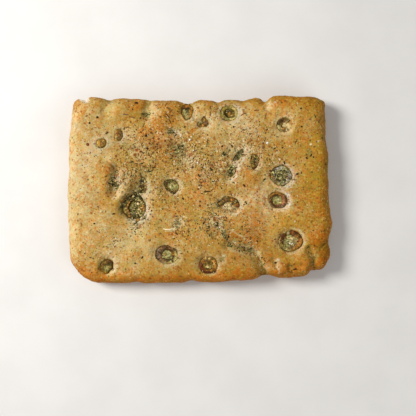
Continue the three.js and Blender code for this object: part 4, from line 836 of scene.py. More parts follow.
def closed_faces(rings, around):
    """Faces of a closed shape whose points are a tip, some rings, and another tip."""
    last = 1 + rings * around
    faces = [(0, 1 + (k + 1) % around, 1 + k) for k in range(around)]
    faces += [(last, last - around + k, last - around + (k + 1) % around) for k in range(around)]
    for p in range(1, last - around, around):
        faces += between(p, p + around, around)
    return faces


def flipped(faces):
    """The same faces seen from the other side, each from its first corner on."""
    return [(face[0], *face[:0:-1]) for face in faces]


# ------------------------------------------------------------------ node materials


def node(tree, kind, inputs=None, **settings):
    """A new node, with its inputs linked or set."""
    made = tree.nodes.new(kind)
    for key, value in settings.items():
        setattr(made, key, value)
    for key, value in (inputs or {}).items():
        if isinstance(value, bpy.types.NodeSocket):
            tree.links.new(value, made.inputs[key])
        else:
            made.inputs[key].default_value = value
    return made


def math_node(tree, operation, *values, clamp=False):
    made = node(tree, "ShaderNodeMath", dict(enumerate(values)), operation=operation, use_clamp=clamp)
    return made.outputs[0]


def times(tree, *values):
    return math_node(tree, "MULTIPLY", *values)


def times_plus(tree, mask, by, plus):
    return math_node(tree, "MULTIPLY_ADD", mask, by, plus)


def mix_colour(tree, share, a, b, blend="MIX"):
    a, b = [(*linear(c), 1) if isinstance(c, str) else c for c in (a, b)]
    made = node(tree, "ShaderNodeMix", {0: share, 6: a, 7: b}, data_type="RGBA", blend_type=blend)
    return made.outputs[2]


def tinted(tree, colour, share, tint):
    """A colour multiplied by a tint, by a share of 0 to 1."""
    return mix_colour(tree, share, colour, (*tint, 1), "MULTIPLY")


def laid_over(tree, colour, share, name, amount):
    """Another colour over this one, by a share of 0 to 1 times an amount."""
    return mix_colour(tree, math_node(tree, "MULTIPLY", share, amount, clamp=True), colour, name)


def stepped(tree, value, low, high, to_low=0.0, to_high=1.0):
    return node(tree, "ShaderNodeMapRange", {"Value": value, "From Min": low, "From Max": high,
                                             "To Min": to_low, "To Max": to_high},
                interpolation_type="SMOOTHSTEP").outputs[0]


def millimetres(tree, shift=0):
    """Object coordinates in millimetres."""
    place = node(tree, "ShaderNodeTexCoord").outputs["Object"]
    scale = (1 / MM, 1 / MM, 1 / MM)
    return node(tree, "ShaderNodeMapping",
                {"Vector": place, "Scale": scale, "Location": (shift, shift, shift)}).outputs[0]


def noise(tree, place, size, detail=2.0, roughness=0.5, distortion=0.0):
    return node(tree, "ShaderNodeTexNoise",
                {"Vector": place, "Scale": 1 / size, "Detail": detail, "Roughness": roughness,
                 "Distortion": distortion}).outputs[0]


def patchy(tree, size, shift, low, high, roughness=0.6):
    """Where a noise of the given size is high, from 0 to 1."""
    return stepped(tree, noise(tree, millimetres(tree, shift), size, 2, roughness), low, high)


def dots(tree, place, spacing, radius, share, blur=0.35):
    """Soft round dots, one in some of the cells of a Voronoi pattern."""
    cells = node(tree, "ShaderNodeTexVoronoi", {"Vector": place, "Scale": 1 / spacing, "Randomness": 1.0})
    pick = node(tree, "ShaderNodeSeparateColor", {0: cells.outputs["Color"]})
    chosen = math_node(tree, "LESS_THAN", pick.outputs[0], share)
    reach = times(tree, math_node(tree, "ADD", pick.outputs[1], 0.5), radius / spacing)
    near = math_node(tree, "SUBTRACT", 1.0, math_node(tree, "DIVIDE", cells.outputs["Distance"], reach))
    return times(tree, stepped(tree, near, 0.0, blur), chosen)


def warped(tree, place, size, amount):
    """Coordinates pushed about by a noise, so that what is drawn by them is uneven."""
    push = node(tree, "ShaderNodeTexNoise", {"Vector": place, "Scale": 1 / size, "Detail": 1.0})
    middle = (0.5, 0.5, 0.5)
    away = node(tree, "ShaderNodeVectorMath", {0: push.outputs["Color"], 1: middle}, operation="SUBTRACT")
    away = node(tree, "ShaderNodeVectorMath", {0: away.outputs[0], "Scale": 2 * amount}, operation="SCALE")
    return node(tree, "ShaderNodeVectorMath", {0: place, 1: away.outputs[0]}, operation="ADD").outputs[0]


def attribute(tree, name, output="Fac"):
    return node(tree, "ShaderNodeAttribute", attribute_name=name).outputs[output]


def new_material(name, roughness=0.6, specular=0.4):
    material = bpy.data.materials.new(name)
    material.use_nodes = True
    tree = material.node_tree
    shader = tree.nodes["Principled BSDF"]
    shader.inputs["Roughness"].default_value = roughness
    shader.inputs["Specular IOR Level"].default_value = specular
    return material, tree, shader


def dress(tree, shader, colour, rough, height, bump_mm, strength):
    """Sends colour, roughness and bump to the shader."""
    bump = node(tree, "ShaderNodeBump", {"Strength": strength, "Distance": bump_mm * MM, "Height": height})
    for socket, value in (("Base Color", colour), ("Roughness", rough), ("Normal", bump.outputs[0])):
        tree.links.new(value, shader.inputs[socket])


DARK_POWERS = (1.0, 1.3, 2.6)  # baked dough turns warmer as it darkens


def darkened(tree, colour, shade, powers=(1, 1, 1)):
    """A colour times a shade, with each channel's own power of the shade."""
    channels = [math_node(tree, "POWER", shade, power) for power in powers]
    tint = node(tree, "ShaderNodeCombineColor", dict(enumerate(channels))).outputs[0]
    return mix_colour(tree, 1.0, colour, tint, "MULTIPLY")


WARM_TINT = (1.06, 0.97, 0.66)  # what the warmest crust is multiplied by
COOL_TINT = (0.95, 1.02, 1.35)  # and the coolest


def crust_material():
    material, tree, shader = new_material("baked_crust", 0.72, 0.06)
    place = millimetres(tree)
    broad = noise(tree, place, 9, 3, 0.6)
    middle = noise(tree, place, 3.2, 3, 0.6, 0.4)
    other = noise(tree, millimetres(tree, 37), 2.0, 3, 0.65, 0.3)
    grain = noise(tree, place, 1.1, 3, 0.7)
    mask = {name: attribute(tree, name) for name in ("toast", "pale", "herb", "stain_and_shade", "gilt", "side",
                                                     "amber", "base", "deep", "warm", "cool", "dusk")}

    def ragged(name, by, amount, low, high):
        """A mask with a ragged edge, by a noise."""
        wave = math_node(tree, "SUBTRACT", by, 0.5)
        return stepped(tree, times_plus(tree, wave, amount, mask[name]), low, high)

    toast = ragged("toast", middle, 1.5, 0.12, 1.15)
    pale = ragged("pale", other, 1.3, 0.1, 1.2)
    stain_and_shade = ragged("stain_and_shade", middle, 1.0, 0.15, 1.2)
    colour = mix_colour(tree, mask["gilt"], "golden", "deep gold")
    colour = laid_over(tree, colour, toast, "toast", 0.75)
    # Cream where pale, which on walls toward the light and east of each slice is partly painted highlight.
    colour = mix_colour(tree, pale, colour, "cream")
    for name, what in (("side", "side gold"), ("amber", "amber"), ("base", "base brown")):
        colour = mix_colour(tree, mask[name], colour, what)
    # Oil green where stained, which on walls away from the light and in crease floors is painted shade.
    colour = laid_over(tree, colour, stain_and_shade, "oil green", 0.8)
    # Deep green under the slices' edges and along crease floors: a painted shade in those gaps.
    colour = laid_over(tree, colour, mask["deep"], "deep green", 0.75)
    # Mottling, coarse and fine: olive patches, orange ones on browned dough and cream ones on pale dough.
    creamy = math_node(tree, "SUBTRACT", times_plus(tree, mask["pale"], 0.75, 0.15),
                       times(tree, mask["gilt"], 0.3))
    for size, shift in ((6.5, 11), (2.2, 19)):
        for smaller, further, name, share in (
                (1, 0, "olive gold", times_plus(tree, mask["pale"], -0.45, 0.46)),
                (0.9, 40, "orange", times_plus(tree, mask["toast"], 0.6, 0.3)),
                (0.8, 60, "green cream", creamy)):
            spots = patchy(tree, size * smaller, shift + further, 0.5, 0.63)
            colour = laid_over(tree, colour, spots, name, share)
    # Redder and greener patches everywhere, and finer yellow and blue ones where few herbs lie.
    bare = math_node(tree, "SUBTRACT", 1.0, mask["herb"], clamp=True)
    for size, shift, tint, share in (
            (4.6, 91, (1.06, 0.92, 0.82), 1), (5.2, 97, (0.94, 1.03, 1.07), 1),
            (1.7, 101, (1.02, 0.98, 0.74), bare), (1.6, 107, (0.98, 1.01, 1.3), bare)):
        colour = tinted(tree, colour, times(tree, patchy(tree, size, shift, 0.48, 0.62), share), tint)
    colour = tinted(tree, colour, mask["warm"], WARM_TINT)
    colour = tinted(tree, colour, mask["cool"], COOL_TINT)
    # Freckles of browned crust everywhere, and specks on the golden parts, fewer of them on the sides.
    freckle_share = times_plus(tree, mask["pale"], -0.25, stepped(tree, broad, 0.35, 0.62, 0.3, 0.8))
    colour = laid_over(tree, colour, dots(tree, place, 3.6, 1.15, 0.5), "toast", freckle_share)
    speck_share = times_plus(tree, mask["side"], -0.45, times_plus(tree, mask["gilt"], 0.5, 0.06))
    for spacing, shift, name, amount in ((2.1, 113, "dark toast", 0.5), (2.3, 127, "light gold", 0.55),
                                         (1.9, 131, "toast", 0.6)):
        specks = dots(tree, millimetres(tree, shift), spacing, 0.95, speck_share)
        colour = laid_over(tree, colour, specks, name, amount)
    # Flecks of chilli, herb, ash and crumb, mostly where the herbs lie.
    for spacing, radius, shift, by, plus, name, amount in (
            (3.0, 1.1, 5, 0.42, 0.05, "chilli", 0.7), (2.3, 0.85, 23, 0.5, -0.03, "dried herb", 0.75),
            (3.2, 1.0, 47, 0.28, -0.03, "ash", 0.6), (2.4, 0.8, 61, 0.4, -0.03, "crumb", 0.55),
            (4.6, 1.4, 83, 0.6, -0.25, "chilli", 0.7)):
        flecks = dots(tree, warped(tree, millimetres(tree, shift), 1.6, 0.9), spacing, radius,
                      times_plus(tree, mask["herb"], by, plus))
        colour = laid_over(tree, colour, flecks, name, amount)
    painted = times(tree, attribute(tree, "paint", "Alpha"), stepped(tree, other, 0.36, 0.56, 0.6, 1.0))
    colour = mix_colour(tree, painted, colour, attribute(tree, "paint", "Color"))
    # The grain is stronger among the herbs; the crust is duller and darker where it is dusky, and brighter
    # where dusk is below 0, partly as painted shade and light.
    coarse_grain = stepped(tree, grain, 0.25, 0.75, -1.0, 1.0)
    grain_by = times_plus(tree, mask["gilt"], 0.13, times_plus(tree, mask["herb"], 0.28, 0.05))
    shade = times_plus(tree, coarse_grain, grain_by, 0.984)
    shade = times(tree, shade, stepped(tree, broad, 0.25, 0.75, 0.93, 1.07))
    shade = times(tree, shade, times_plus(tree, mask["dusk"], -0.2, 1.0))
    height = times(tree, grain, times_plus(tree, mask["herb"], 0.7, 0.5))
    dress(tree, shader, darkened(tree, colour, shade, DARK_POWERS),
          stepped(tree, middle, 0.3, 0.7, 0.62, 0.8), height, 0.8, 1.0)
    return material


def painted_material(name, roughness, specular, size, contrast, bump_mm, coat=0.0):
    """The colour on the points, broken up by noise of the given size."""
    material, tree, shader = new_material(name, roughness, specular)
    shader.inputs["Coat Weight"].default_value = coat
    place = millimetres(tree)
    coarse, fine = noise(tree, place, size, 3, 0.6, 0.3), noise(tree, place, size * 0.4, 2, 0.6)
    shade = times(tree, stepped(tree, coarse, 0.25, 0.75, 1 - contrast, 1 + contrast),
                  stepped(tree, fine, 0.25, 0.75, 1 - contrast / 2, 1 + contrast / 2))
    dress(tree, shader, darkened(tree, attribute(tree, "paint", "Color"), shade, (1, 1.05, 1.3)),
          stepped(tree, coarse, 0.3, 0.7, roughness - 0.1, roughness + 0.12), fine, bump_mm, 0.7)
    return material


def olive_material():
    """Cut and baked olive: the colour on the points, grainy, with pale, dark and rusty patches."""
    material, tree, shader = new_material("olive_flesh", 0.6, 0.12)
    colour = attribute(tree, "paint", "Color")
    for size, shift, tint in ((1.4, 0, (0.35, 0.36, 0.3)), (1.1, 23, (1.5, 1.5, 1.7)),
                              (1.3, 47, (1.15, 0.88, 0.65)), (1.2, 71, (0.85, 1.05, 0.9))):
        colour = tinted(tree, colour, patchy(tree, size, shift, 0.5, 0.66, 0.65), tint)
    grain = noise(tree, millimetres(tree), 0.9, 3, 0.7)
    shade = stepped(tree, grain, 0.25, 0.75, 0.6, 1.4)
    dress(tree, shader, darkened(tree, colour, shade, (1, 1.1, 1.6)),
          stepped(tree, grain, 0.3, 0.7, 0.7, 0.45), grain, 0.35, 0.8)
    return material


# ------------------------------------------------------------------ the crust

GRID = dict(along=84, across=60, rim=7, fine=3, wall=8)
SEAT_MARGIN = 0.35  # from the flesh to the wall of its seat
SEAT_DROP = 0.7  # the seat's floor is this far below the slice's middle
LIP_RISE = 0.35  # the dough's lip round the slice is this far above its top
CORE_OVER = 1.2  # what fills a slice's hole lies this far over the dough below it
BASE_GRID_SHARE = 0.992  # the underside's own grid ends this far out, and a strip joins it to the wall
LIP_WIDE = 0.8  # of the pale lip along a crease
PAINT_FOOT = 18  # spots of colour fade below this height
PORE_DEPTH = 0.25
CRUST_FROM = 16  # the slices' seats and the rims of their pits are shaped above this height
SLOPES_FROM = 14  # a slope colours the crust above this height
STEEPEST = 0.3  # the smallest upward part of a normal that a slope is worked out from
PIT_RIM = dict(rise=0.35, at=1.35, wide=0.18)  # mm, and shares of the pit's half size
CRUST_LUMPS = ((0.8, 15, 11), (0.5, 6.5, 12), (0.28, 3.1, 13), (0.15, 1.6, 14))  # mm, size in mm, seed


def grid_lines(cells, rim_rows):
    """Grid lines from -1 to 1: even between the rims, closer where the crust rolls over."""
    rolled = [math.sin(row / rim_rows * math.pi / 2) for row in range(1, rim_rows + 1)]
    rim = [RIM_START + (1 - RIM_START) * part for part in rolled]
    even = [RIM_START * (2 * i / cells - 1) for i in range(cells + 1)]
    return np.array([-r for r in reversed(rim)] + even + rim)


def edge_loop(columns, rows):
    """Indices of the edge of a grid, anticlockwise from its south-west corner."""
    south = [i for i in range(columns - 1)]
    east = [j * columns + columns - 1 for j in range(rows - 1)]
    north = [(rows - 1) * columns + i for i in range(columns - 1, 0, -1)]
    west = [j * columns for j in range(rows - 1, 0, -1)]
    return south + east + north + west


def from_flesh(x, y, slice_):
    """How far a place is from the middle of a ring's flesh, in mm, and its angle round the ring."""
    half = flesh_half_width(slice_)
    along, across = in_slice_axes(x, y, slice_)
    a, b = slice_["long"] - half, slice_["short"] - half
    angle = np.arctan2(across / b, along / a)
    reach = np.hypot(along / a, across / b) - 1
    return reach * np.hypot(a * np.cos(angle), b * np.sin(angle)), angle


def in_sweep(angle, slice_, soft):
    """1 where the flesh of a broken ring is, fading over a soft angle past its ends."""
    if slice_["sweep"] >= 360:
        return np.ones_like(angle)
    middle = math.radians(slice_["start"] + slice_["sweep"] / 2)
    off = np.abs((angle - middle + np.pi) % (2 * np.pi) - np.pi)
    return smooth_step(soft, 0, off - math.radians(slice_["sweep"] / 2))


def round_about(x, y, slice_, bumps):
    """The sum of bumps of (angle, mm, angle it fades over) at a place seen from the slice's middle."""
    angle = np.degrees(np.arctan2(y - slice_["y"], x - slice_["x"]))
    return sum((size * np.exp(-(((angle - at + 180) % 360 - 180) / wide) ** 2) for at, size, wide in bumps),
               np.zeros_like(x))


def from_outside(x, y, slice_):
    """How far a place is outside the slice's outer edge, in mm."""
    bulge = round_about(x, y, slice_, slice_["bulges"])
    if slice_["hole"] == 0:
        return (distance_from_olive(x, y, slice_, 0) - 1) * min(slice_["long"], slice_["short"]) - bulge
    return from_flesh(x, y, slice_)[0] - flesh_half_width(slice_) - bulge


def dough_over(x, y, slice_):
    """How far the dough reaches over the slice's edge, in mm: by the slice's own list, and by chance."""
    flat = np.stack([x, y, np.zeros_like(x)], axis=1)
    return round_about(x, y, slice_, slice_["covered"]) + layered(flat, (0.55, 3.4, 71), (0.3, 1.7, 72))


def seated(x, y, z):
    """The crust with a steep seat under each slice, dough that fills or sinks in its hole, and a lip."""
    for slice_ in OLIVES:
        turned, at = slice_place(slice_)
        plane = at[2] - ((x - at[0]) * turned[0, 2] + (y - at[1]) * turned[1, 2]) / turned[2, 2]
        present = 1
        if slice_["hole"] == 0:
            seat = smooth_step(0.3, -0.6, from_outside(x, y, slice_) - SEAT_MARGIN)
        else:
            off, angle = from_flesh(x, y, slice_)
            half = flesh_half_width(slice_)
            present = in_sweep(angle, slice_, 0.25)
            inside = smooth_step(0.2, -1.2, off + half)
            core = plane + OLIVE_THICKNESS / 2 + slice_["lift"] + 0.12 * (off + half)
            core = core - (CORE_OVER if has_core(slice_) else 0)
            z = z + (core - z) * inside * present * (0.9 if has_core(slice_) else 0.5)
            outer = np.maximum(from_outside(x, y, slice_) - SEAT_MARGIN, -off - half - SEAT_MARGIN)
            seat = smooth_step(0.5, -0.7, outer) * present
        z = z + np.minimum(plane - SEAT_DROP - z, 0) * seat
        outside = from_outside(x, y, slice_)
        near = np.abs(outside) < 5
        over = np.zeros_like(x)
        over[near] = dough_over(x[near], y[near], slice_)
        lip = smooth_step(-0.5, 0.4, outside + over) * smooth_step(3.4, 0.8, outside) * near * present
        z = z + np.maximum(plane + OLIVE_THICKNESS / 2 + LIP_RISE - z, 0) * lip
    return z


def has_core(slice_):
    """Whether flesh of the slice itself fills its hole, and not the dough."""
    return slice_["hole"] > 0 and slice_["core"] != "dough"


def flesh_half_width(slice_):
    return min(slice_["long"], slice_["short"]) * (1 - slice_["hole"]) / 2


def herb_share(x, y, patches=HERB_PATCHES):
    share = np.full(np.shape(x), HERB_ELSEWHERE)
    for hx, hy, most, wide in patches:
        share = np.maximum(share, most * fade_around(x, y, hx, hy, wide))
    return share


def near_herbs(x, y):
    return 0.02 + 0.98 * float(herb_share(x, y)) ** 1.5


def nearly_near_herbs(x, y):
    return 0.04 + 0.96 * float(herb_share(x, y))


def anywhere(x, y):
    return 0.12 + 0.88 * float(herb_share(x, y))


def flat_grid(columns, rows):
    """A grid drawn into the outline: x, y, how far out each point is from 0 to 1, and the faces."""
    a, b = [lines.ravel() for lines in np.meshgrid(columns, rows)]
    share = np.maximum(np.abs(a), np.abs(b))
    safe = np.maximum(share, 1e-6)
    x, y = outline_point(a / safe, b / safe)
    n = len(columns)
    i, j = np.meshgrid(np.arange(n - 1), np.arange(len(rows) - 1))
    first = (j * n + i).ravel()
    return x * share, y * share, share, np.stack([first, first + 1, first + n + 1, first + n], axis=1)


def slab_grid():
    """Points and faces of the whole slab: crust, curled-in wall and underside."""
    fine = GRID["fine"]
    columns = grid_lines(GRID["along"] * fine, GRID["rim"] * fine)
    rows = grid_lines(GRID["across"] * fine, GRID["rim"] * fine)
    x, y, share, quads = flat_grid(columns, rows)
    points = [np.stack([x, y, crust_height(x, y, np.minimum(share, 1))], axis=1)]
    faces = quads.tolist()
    above = np.array(edge_loop(len(columns), len(rows)))
    edge = points[0][above]
    count = len(points[0])
    for row in range(1, GRID["wall"] + 1):
        turn = row / GRID["wall"] * math.pi / 2
        inset = 1 - BASE_INSET * (1 - math.cos(turn))
        height = np.full(len(edge), WIDEST_HEIGHT * (1 - math.sin(turn)))
        points.append(np.stack([edge[:, 0] * inset, edge[:, 1] * inset, height], axis=1))
        below = np.arange(count, count + len(edge))
        count += len(edge)
        faces += np.stack([above, below, np.roll(below, -1), np.roll(above, -1)], axis=1).tolist()
        above = below
    # The underside is a coarser grid, joined to the wall by a strip of quads and triangles.
    columns, rows = columns[::fine], rows[::fine]
    x, y, _, quads = flat_grid(columns, rows)
    inset = (1 - BASE_INSET) * BASE_GRID_SHARE
    points.append(np.stack([x * inset, y * inset, np.zeros(len(x))], axis=1))
    faces += (quads[:, [0, 3, 2, 1]] + count).tolist()
    coarse = [count + k for k in edge_loop(len(columns), len(rows))]
    middle = fine // 2
    for k, (inner, next_inner) in enumerate(zip(coarse, coarse[1:] + coarse[:1])):
        outer = [int(above[(k * fine + step) % len(above)]) for step in range(fine + 1)]
        for step in range(fine):
            if step == middle:
                faces.append([outer[step], inner, next_inner, outer[step + 1]])
            else:
                faces.append([outer[step], inner if step < middle else next_inner, outer[step + 1]])
    return np.concatenate(points), faces


def small_forms(points):
    """Height of the small creases and rises over the crust, and how stained and how pale they make it; the
    stain on crease floors is partly painted shade, the pale lips partly painted highlight.
    """
    x, y, _ = points.T
    height, stained, lips = np.zeros((3, len(x)))
    wobble = layered(points, (0.7, 3.6, 21))
    for half, deep, lip_side, stain_and_shade, path in CREASES:
        off = beside_path(x, y, path) + wobble
        floor = np.exp(-(off / half) ** 2)
        lip = np.exp(-((off * lip_side - half - LIP_WIDE) / LIP_WIDE) ** 2) if lip_side else np.zeros_like(x)
        height = height + deep * (0.4 * lip - floor)
        stained = np.maximum(stained, stain_and_shade * floor)
        lips = np.maximum(lips, lip)
    return height + summed(x, y, RISES), stained, lips


def crust_masks(points, slope_x, slope_y):
    """Where the crust is browner, paler, stained, dusted with herbs, or is the side or the base, with
    painted
    highlight and shade: on walls toward and away from the light, beside and under the slices, and in
    creases.
    """
    x, y, z = points.T
    share = share_of_the_way_out(x, y)
    hollow = hollow_depth(x, y)
    lumps = layered(points, (0.5, 17, 3), (0.5, 7, 4))
    _, creased, lips = small_forms(points)
    top = on_top(z)
    rim = smooth_step(0.86, 1.0, share)
    east, north, south = smooth_step(15, 125, x), smooth_step(60, 84, y), smooth_step(-50, -92, y)
    # How much a wall faces the light from the north-west, for the painted highlight and shade below.
    lit_wall = slope_x * 0.75 - slope_y * 0.65
    # Browned: the domes, the rim and the south-east, less so the hollows and the far east.
    toast = 0.12 + 0.1 * summed(x, y, DOMES) + 0.26 * lumps + 0.9 * summed(x, y, TOASTED) - 0.12 * hollow
    toast = toast + 0.10 * smooth_step(-80, 110, x)
    toast = toast + 0.16 * smooth_step(60, -80, y) * smooth_step(-60, 60, x)
    toast = toast + 0.7 * south * smooth_step(0.8, 0.98, share) + 0.3 * rim
    toast = toast - 0.35 * smooth_step(50, 115, x) * smooth_step(-30, 20, y)
    # Pale: hollows, the west, the dough beside slices and creases; not the rim. Walls toward the light get a
    # painted highlight, as does the east side of the dough beside each slice; the crease lips and the paler
    # west are partly painted light.
    beside = np.zeros_like(x)
    for slice_ in OLIVES:
        away = (distance_from_olive(x, y, slice_, 0) - 1) * min(slice_["long"], slice_["short"])
        # Stronger on each slice's east side, the pit wall that faces the light: a painted highlight.
        right = smooth_step(-0.6, 0.9, ((x - slice_["x"]) * 0.85 - (y - slice_["y"]) * 0.1) / slice_["long"])
        beside = beside + slice_["halo"] * (0.15 + 0.85 * right) * np.exp(-((away - 1.7) / 1.3) ** 2)
    pale = 0.06 + 0.10 * np.clip(hollow, 0, 3) + 0.8 * np.clip(lit_wall, 0, 0.6)
    pale = pale + 0.34 * smooth_step(-70, -118, x) + layered(points, (0.18, 10, 5))
    pale = pale + 0.8 * summed(x, y, PALER) + beside + 0.9 * lips
    pale = pale * (1 - 0.8 * rim * np.maximum(smooth_step(-40, 60, x), south)) * (1 - 0.7 * rim * north)
    # Stain and painted shade: hollows, creases and the east edge are stained; walls away from the light get
    # a painted shade, and the crease floors are partly painted shade.
    stain_and_shade = -0.05 + 0.05 * np.clip(hollow - 1, 0, 4) + 0.9 * np.clip(-lit_wall, 0, 0.7)
    stain_and_shade = stain_and_shade + 0.9 * summed(x, y, STAINED) + 0.35 * smooth_step(104, 124, x) * smooth_step(-40, 0, y)
    stain_and_shade = stain_and_shade + 1.1 * creased
    gilt = 0.75 * east + 0.3 * south + 0.6 * rim * np.maximum(east, south) + 0.1 * lumps + 0.5 * rim * north
    warm = summed(x, y, WARMER) + layered(points, (0.35, 14, 6)) - 0.7 * np.clip(beside + lips, 0, 1)
    warm = warm + 0.7 * rim * south
    amber = 0.9 * smooth_step(0.9, 1.0, share) * np.maximum(south, 0.35 * east) * smooth_step(2, 8, z)
    # Deep green on the dough under each slice's edge, seen in the gap round it: a painted shade. Along the
    # crease floors it is partly painted shade, with the herbs there.
    painted_shade_under_slices = [slice_["rim"] * smooth_step(1.04, 0.94, distance_from_olive(x, y, slice_, 0))
                    for slice_ in OLIVES]
    deep = np.max([*painted_shade_under_slices, smooth_step(0.75, 1.1, creased) * 0.6], axis=0)
    most = 1.2
    masks = dict(gilt=gilt, amber=amber, toast=toast * top + 0.35 * (1 - top),
                 pale=pale * top + 0.2 * (1 - top), stain_and_shade=np.clip(stain_and_shade, 0, most) * top,
                 side=0.7 * (1 - top) * smooth_step(0, 5, z),
                 base=smooth_step(6, 1, z) * (0.75 + 0.25 * lumps),
                 herb=np.maximum(herb_share(x, y), 1.1 * creased) * top, deep=deep * top,
                 warm=np.clip(warm, 0, most) * top, cool=np.clip(-warm, 0, most) * top)
    masks = {name: np.clip(mask, 0, most) for name, mask in masks.items()}
    return dict(masks, dusk=np.clip(summed(x, y, DUSKY), -most, most))


def crust_paint(points):
    """Colours of single spots of the crust: cores of the slices, torn edges, and dark spots in hollows,
    those on the west wall of slice 14's pit partly painted shade.
    """
    x, y, z = points.T
    paint = np.zeros((len(x), 4))
    low = 1.2 * np.maximum(PAINT_FOOT - z, 0)  # so that a spot on the edge ends part way down the side
    spots = [(np.hypot(np.hypot(x - spot_x, y - spot_y), low) / size, share, colour)
             for spot_x, spot_y, size, share, colour in PAINTED]
    for slice_ in OLIVES:
        if slice_["hole"] > 0:
            wall = 1.5 * flesh_half_width(slice_)
            along, across = in_slice_axes(x, y, slice_)
            reach = np.hypot(along / (slice_["long"] - wall), across / (slice_["short"] - wall))
            spots.append((reach, 0.85, slice_["core"]))
    wobble = layered(points, (0.3, 2.6, 8), (0.2, 1.2, 9))
    for reach, share, colour in spots:
        amount = share * smooth_step(1.15, 0.75, reach + wobble) * smooth_step(7, 14, z)
        paint[:, :3] = paint[:, :3] * (1 - amount[:, None]) + np.array(linear(colour)) * amount[:, None]
        paint[:, 3] = np.maximum(paint[:, 3], amount)
    for slice_ in OLIVES:
        near = distance_from_olive(x, y, slice_, 0.5) < 1
        under, amount = marked(paint[near, :3], points[near], slice_, wobble[near])
        paint[near, :3], paint[near, 3] = under, np.maximum(paint[near, 3], amount)
    covered = np.maximum(paint[:, 3:], 1e-6)
    paint[:, :3] = np.where(paint[:, 3:] > 1e-4, np.clip(paint[:, :3] / covered, 0, 1), 0.2)
    return paint


def make_crust():
    points, faces = slab_grid()
    normals = vertex_normals(points, faces)
    x, y, z = points.T.copy()
    slopes = -normals[:, :2] / np.maximum(normals[:, 2:], STEEPEST) * (z > SLOPES_FROM)[:, None]
    masks = crust_masks(points, *slopes.T)
    relief = layered(points, *CRUST_LUMPS)
    pores = smooth_step(0.45, 0.8, lattice_noise(points, 2.4, 15))
    relief = relief - PORE_DEPTH * pores + small_forms(points)[0] * on_top(z)
    # Flat wrinkles round the side, and a raised rim round each pit.
    wrinkles = np.abs(lattice_noise(points * np.array([1, 1, 3.2]), 9, 16))
    relief = relief - 0.5 * smooth_step(0.16, 0.0, wrinkles) * smooth_step(20, 12, z) * smooth_step(1, 4, z)
    reach = np.min([distance_from_olive(x, y, slice_, PIT_MARGIN) for slice_ in OLIVES], axis=0)
    rim = PIT_RIM["rise"] * np.exp(-((reach - PIT_RIM["at"]) / PIT_RIM["wide"]) ** 2)
    relief = relief + rim * (z > CRUST_FROM)
    lifted = points + normals * (relief * smooth_step(0.0, 3.0, z))[:, None]
    lifted[:, 2] = np.where(z > CRUST_FROM, seated(*lifted.T), lifted[:, 2])
    under = (z < 0.01) & (normals[:, 2] < -0.5)
    lifted[:, 2] += np.where(under, 0.25 + layered(points, (0.25, 4, 17)), 0)
    new_piece("crust", lifted, faces, crust_material(), "bread", "crust", crust_paint(points), **masks)
    return lifted, faces


# ------------------------------------------------------------------ olive slices

CORE_OUT = -2.0  # stands for the flesh in the hole, where the ring's own flesh goes from -1 to 1
CORE_DISH = 0.35  # how much higher the flesh in the hole is at its edge
ROUNDED_END = 2.2  # length over which the end of a broken ring rounds off
LEAN_STEP = 6  # how far from a slice's middle the crust's slope is taken
LEAN_SHARE = 0.8  # share of that slope that the slice leans by

# A whole disc from its bottom's middle to its top's: share of the half size, share of the half thickness.
DISC_PROFILE = [
    (0, -1), (0.4, -1), (0.72, -1), (0.88, -0.75), (0.96, -0.3), (0.97, 0.1), (0.94, 0.5), (0.86, 0.8),
    (0.76, 0.96), (0.66, 1), (0.55, 1), (0.44, 0.95), (0.33, 0.9), (0.22, 0.85), (0.11, 0.82), (0, 0.8),
]


def uneven(angle, slice_):
    return 1 + 0.07 * np.sin(3 * angle + slice_["x"]) + 0.05 * np.sin(5 * angle + slice_["y"])


def colour_round(looks, angle):
    """A colour, or colours smoothly from stop to stop round the slice."""
    if isinstance(looks, str):
        return np.tile(linear(looks), (len(angle), 1))
    stops = sorted((a % 360, linear(colour)) for a, colour in looks)
    angles = [a for a, _ in stops]
    at = np.degrees(angle) % 360
    return np.stack([np.interp(at, angles, [c[k] for _, c in stops], period=360) for k in range(3)], axis=1)


def marked(colour, points, slice_, wobble):
    """The slice's marks painted over a colour; also the share of each point that they cover."""
    covered = np.zeros(len(points))
    for east, north, size, name in slice_["marks"]:
        away = np.hypot(points[:, 0] - slice_["x"] - east, points[:, 1] - slice_["y"] - north) / size
        amount = 0.85 * smooth_step(1.3, 0.6, away + wobble)
        colour = colour * (1 - amount[:, None]) + np.array(linear(name)) * amount[:, None]
        covered = np.maximum(covered, amount)
    return colour, covered


def slice_place(slice_):
    """The slice's own place: on the floor of its pit, leaning with the crust round it."""
    x, y, step = slice_["x"], slice_["y"], LEAN_STEP

    def crust(px, py):
        px, py = np.array([px]), np.array([py])
        return float(rolled_over(puffed_height(px, py), share_of_the_way_out(px, py))[0])

    slope_x = (crust(x + step, y) - crust(x - step, y)) / (2 * step)
    slope_y = (crust(x, y + step) - crust(x, y - step)) / (2 * step)
    up = Vector((-slope_x * LEAN_SHARE, -slope_y * LEAN_SHARE, 1)).normalized()
    lean = Vector((0, 0, 1)).rotation_difference(up).to_matrix()
    turn = Matrix.Rotation(math.radians(slice_["turn"]), 3, "Z")
    floor = float(crust_height(np.array([x]), np.array([y]))[0])
    at = np.array([x, y, floor - OLIVE_EMBED + OLIVE_THICKNESS / 2])
    return np.array(lean @ turn), at


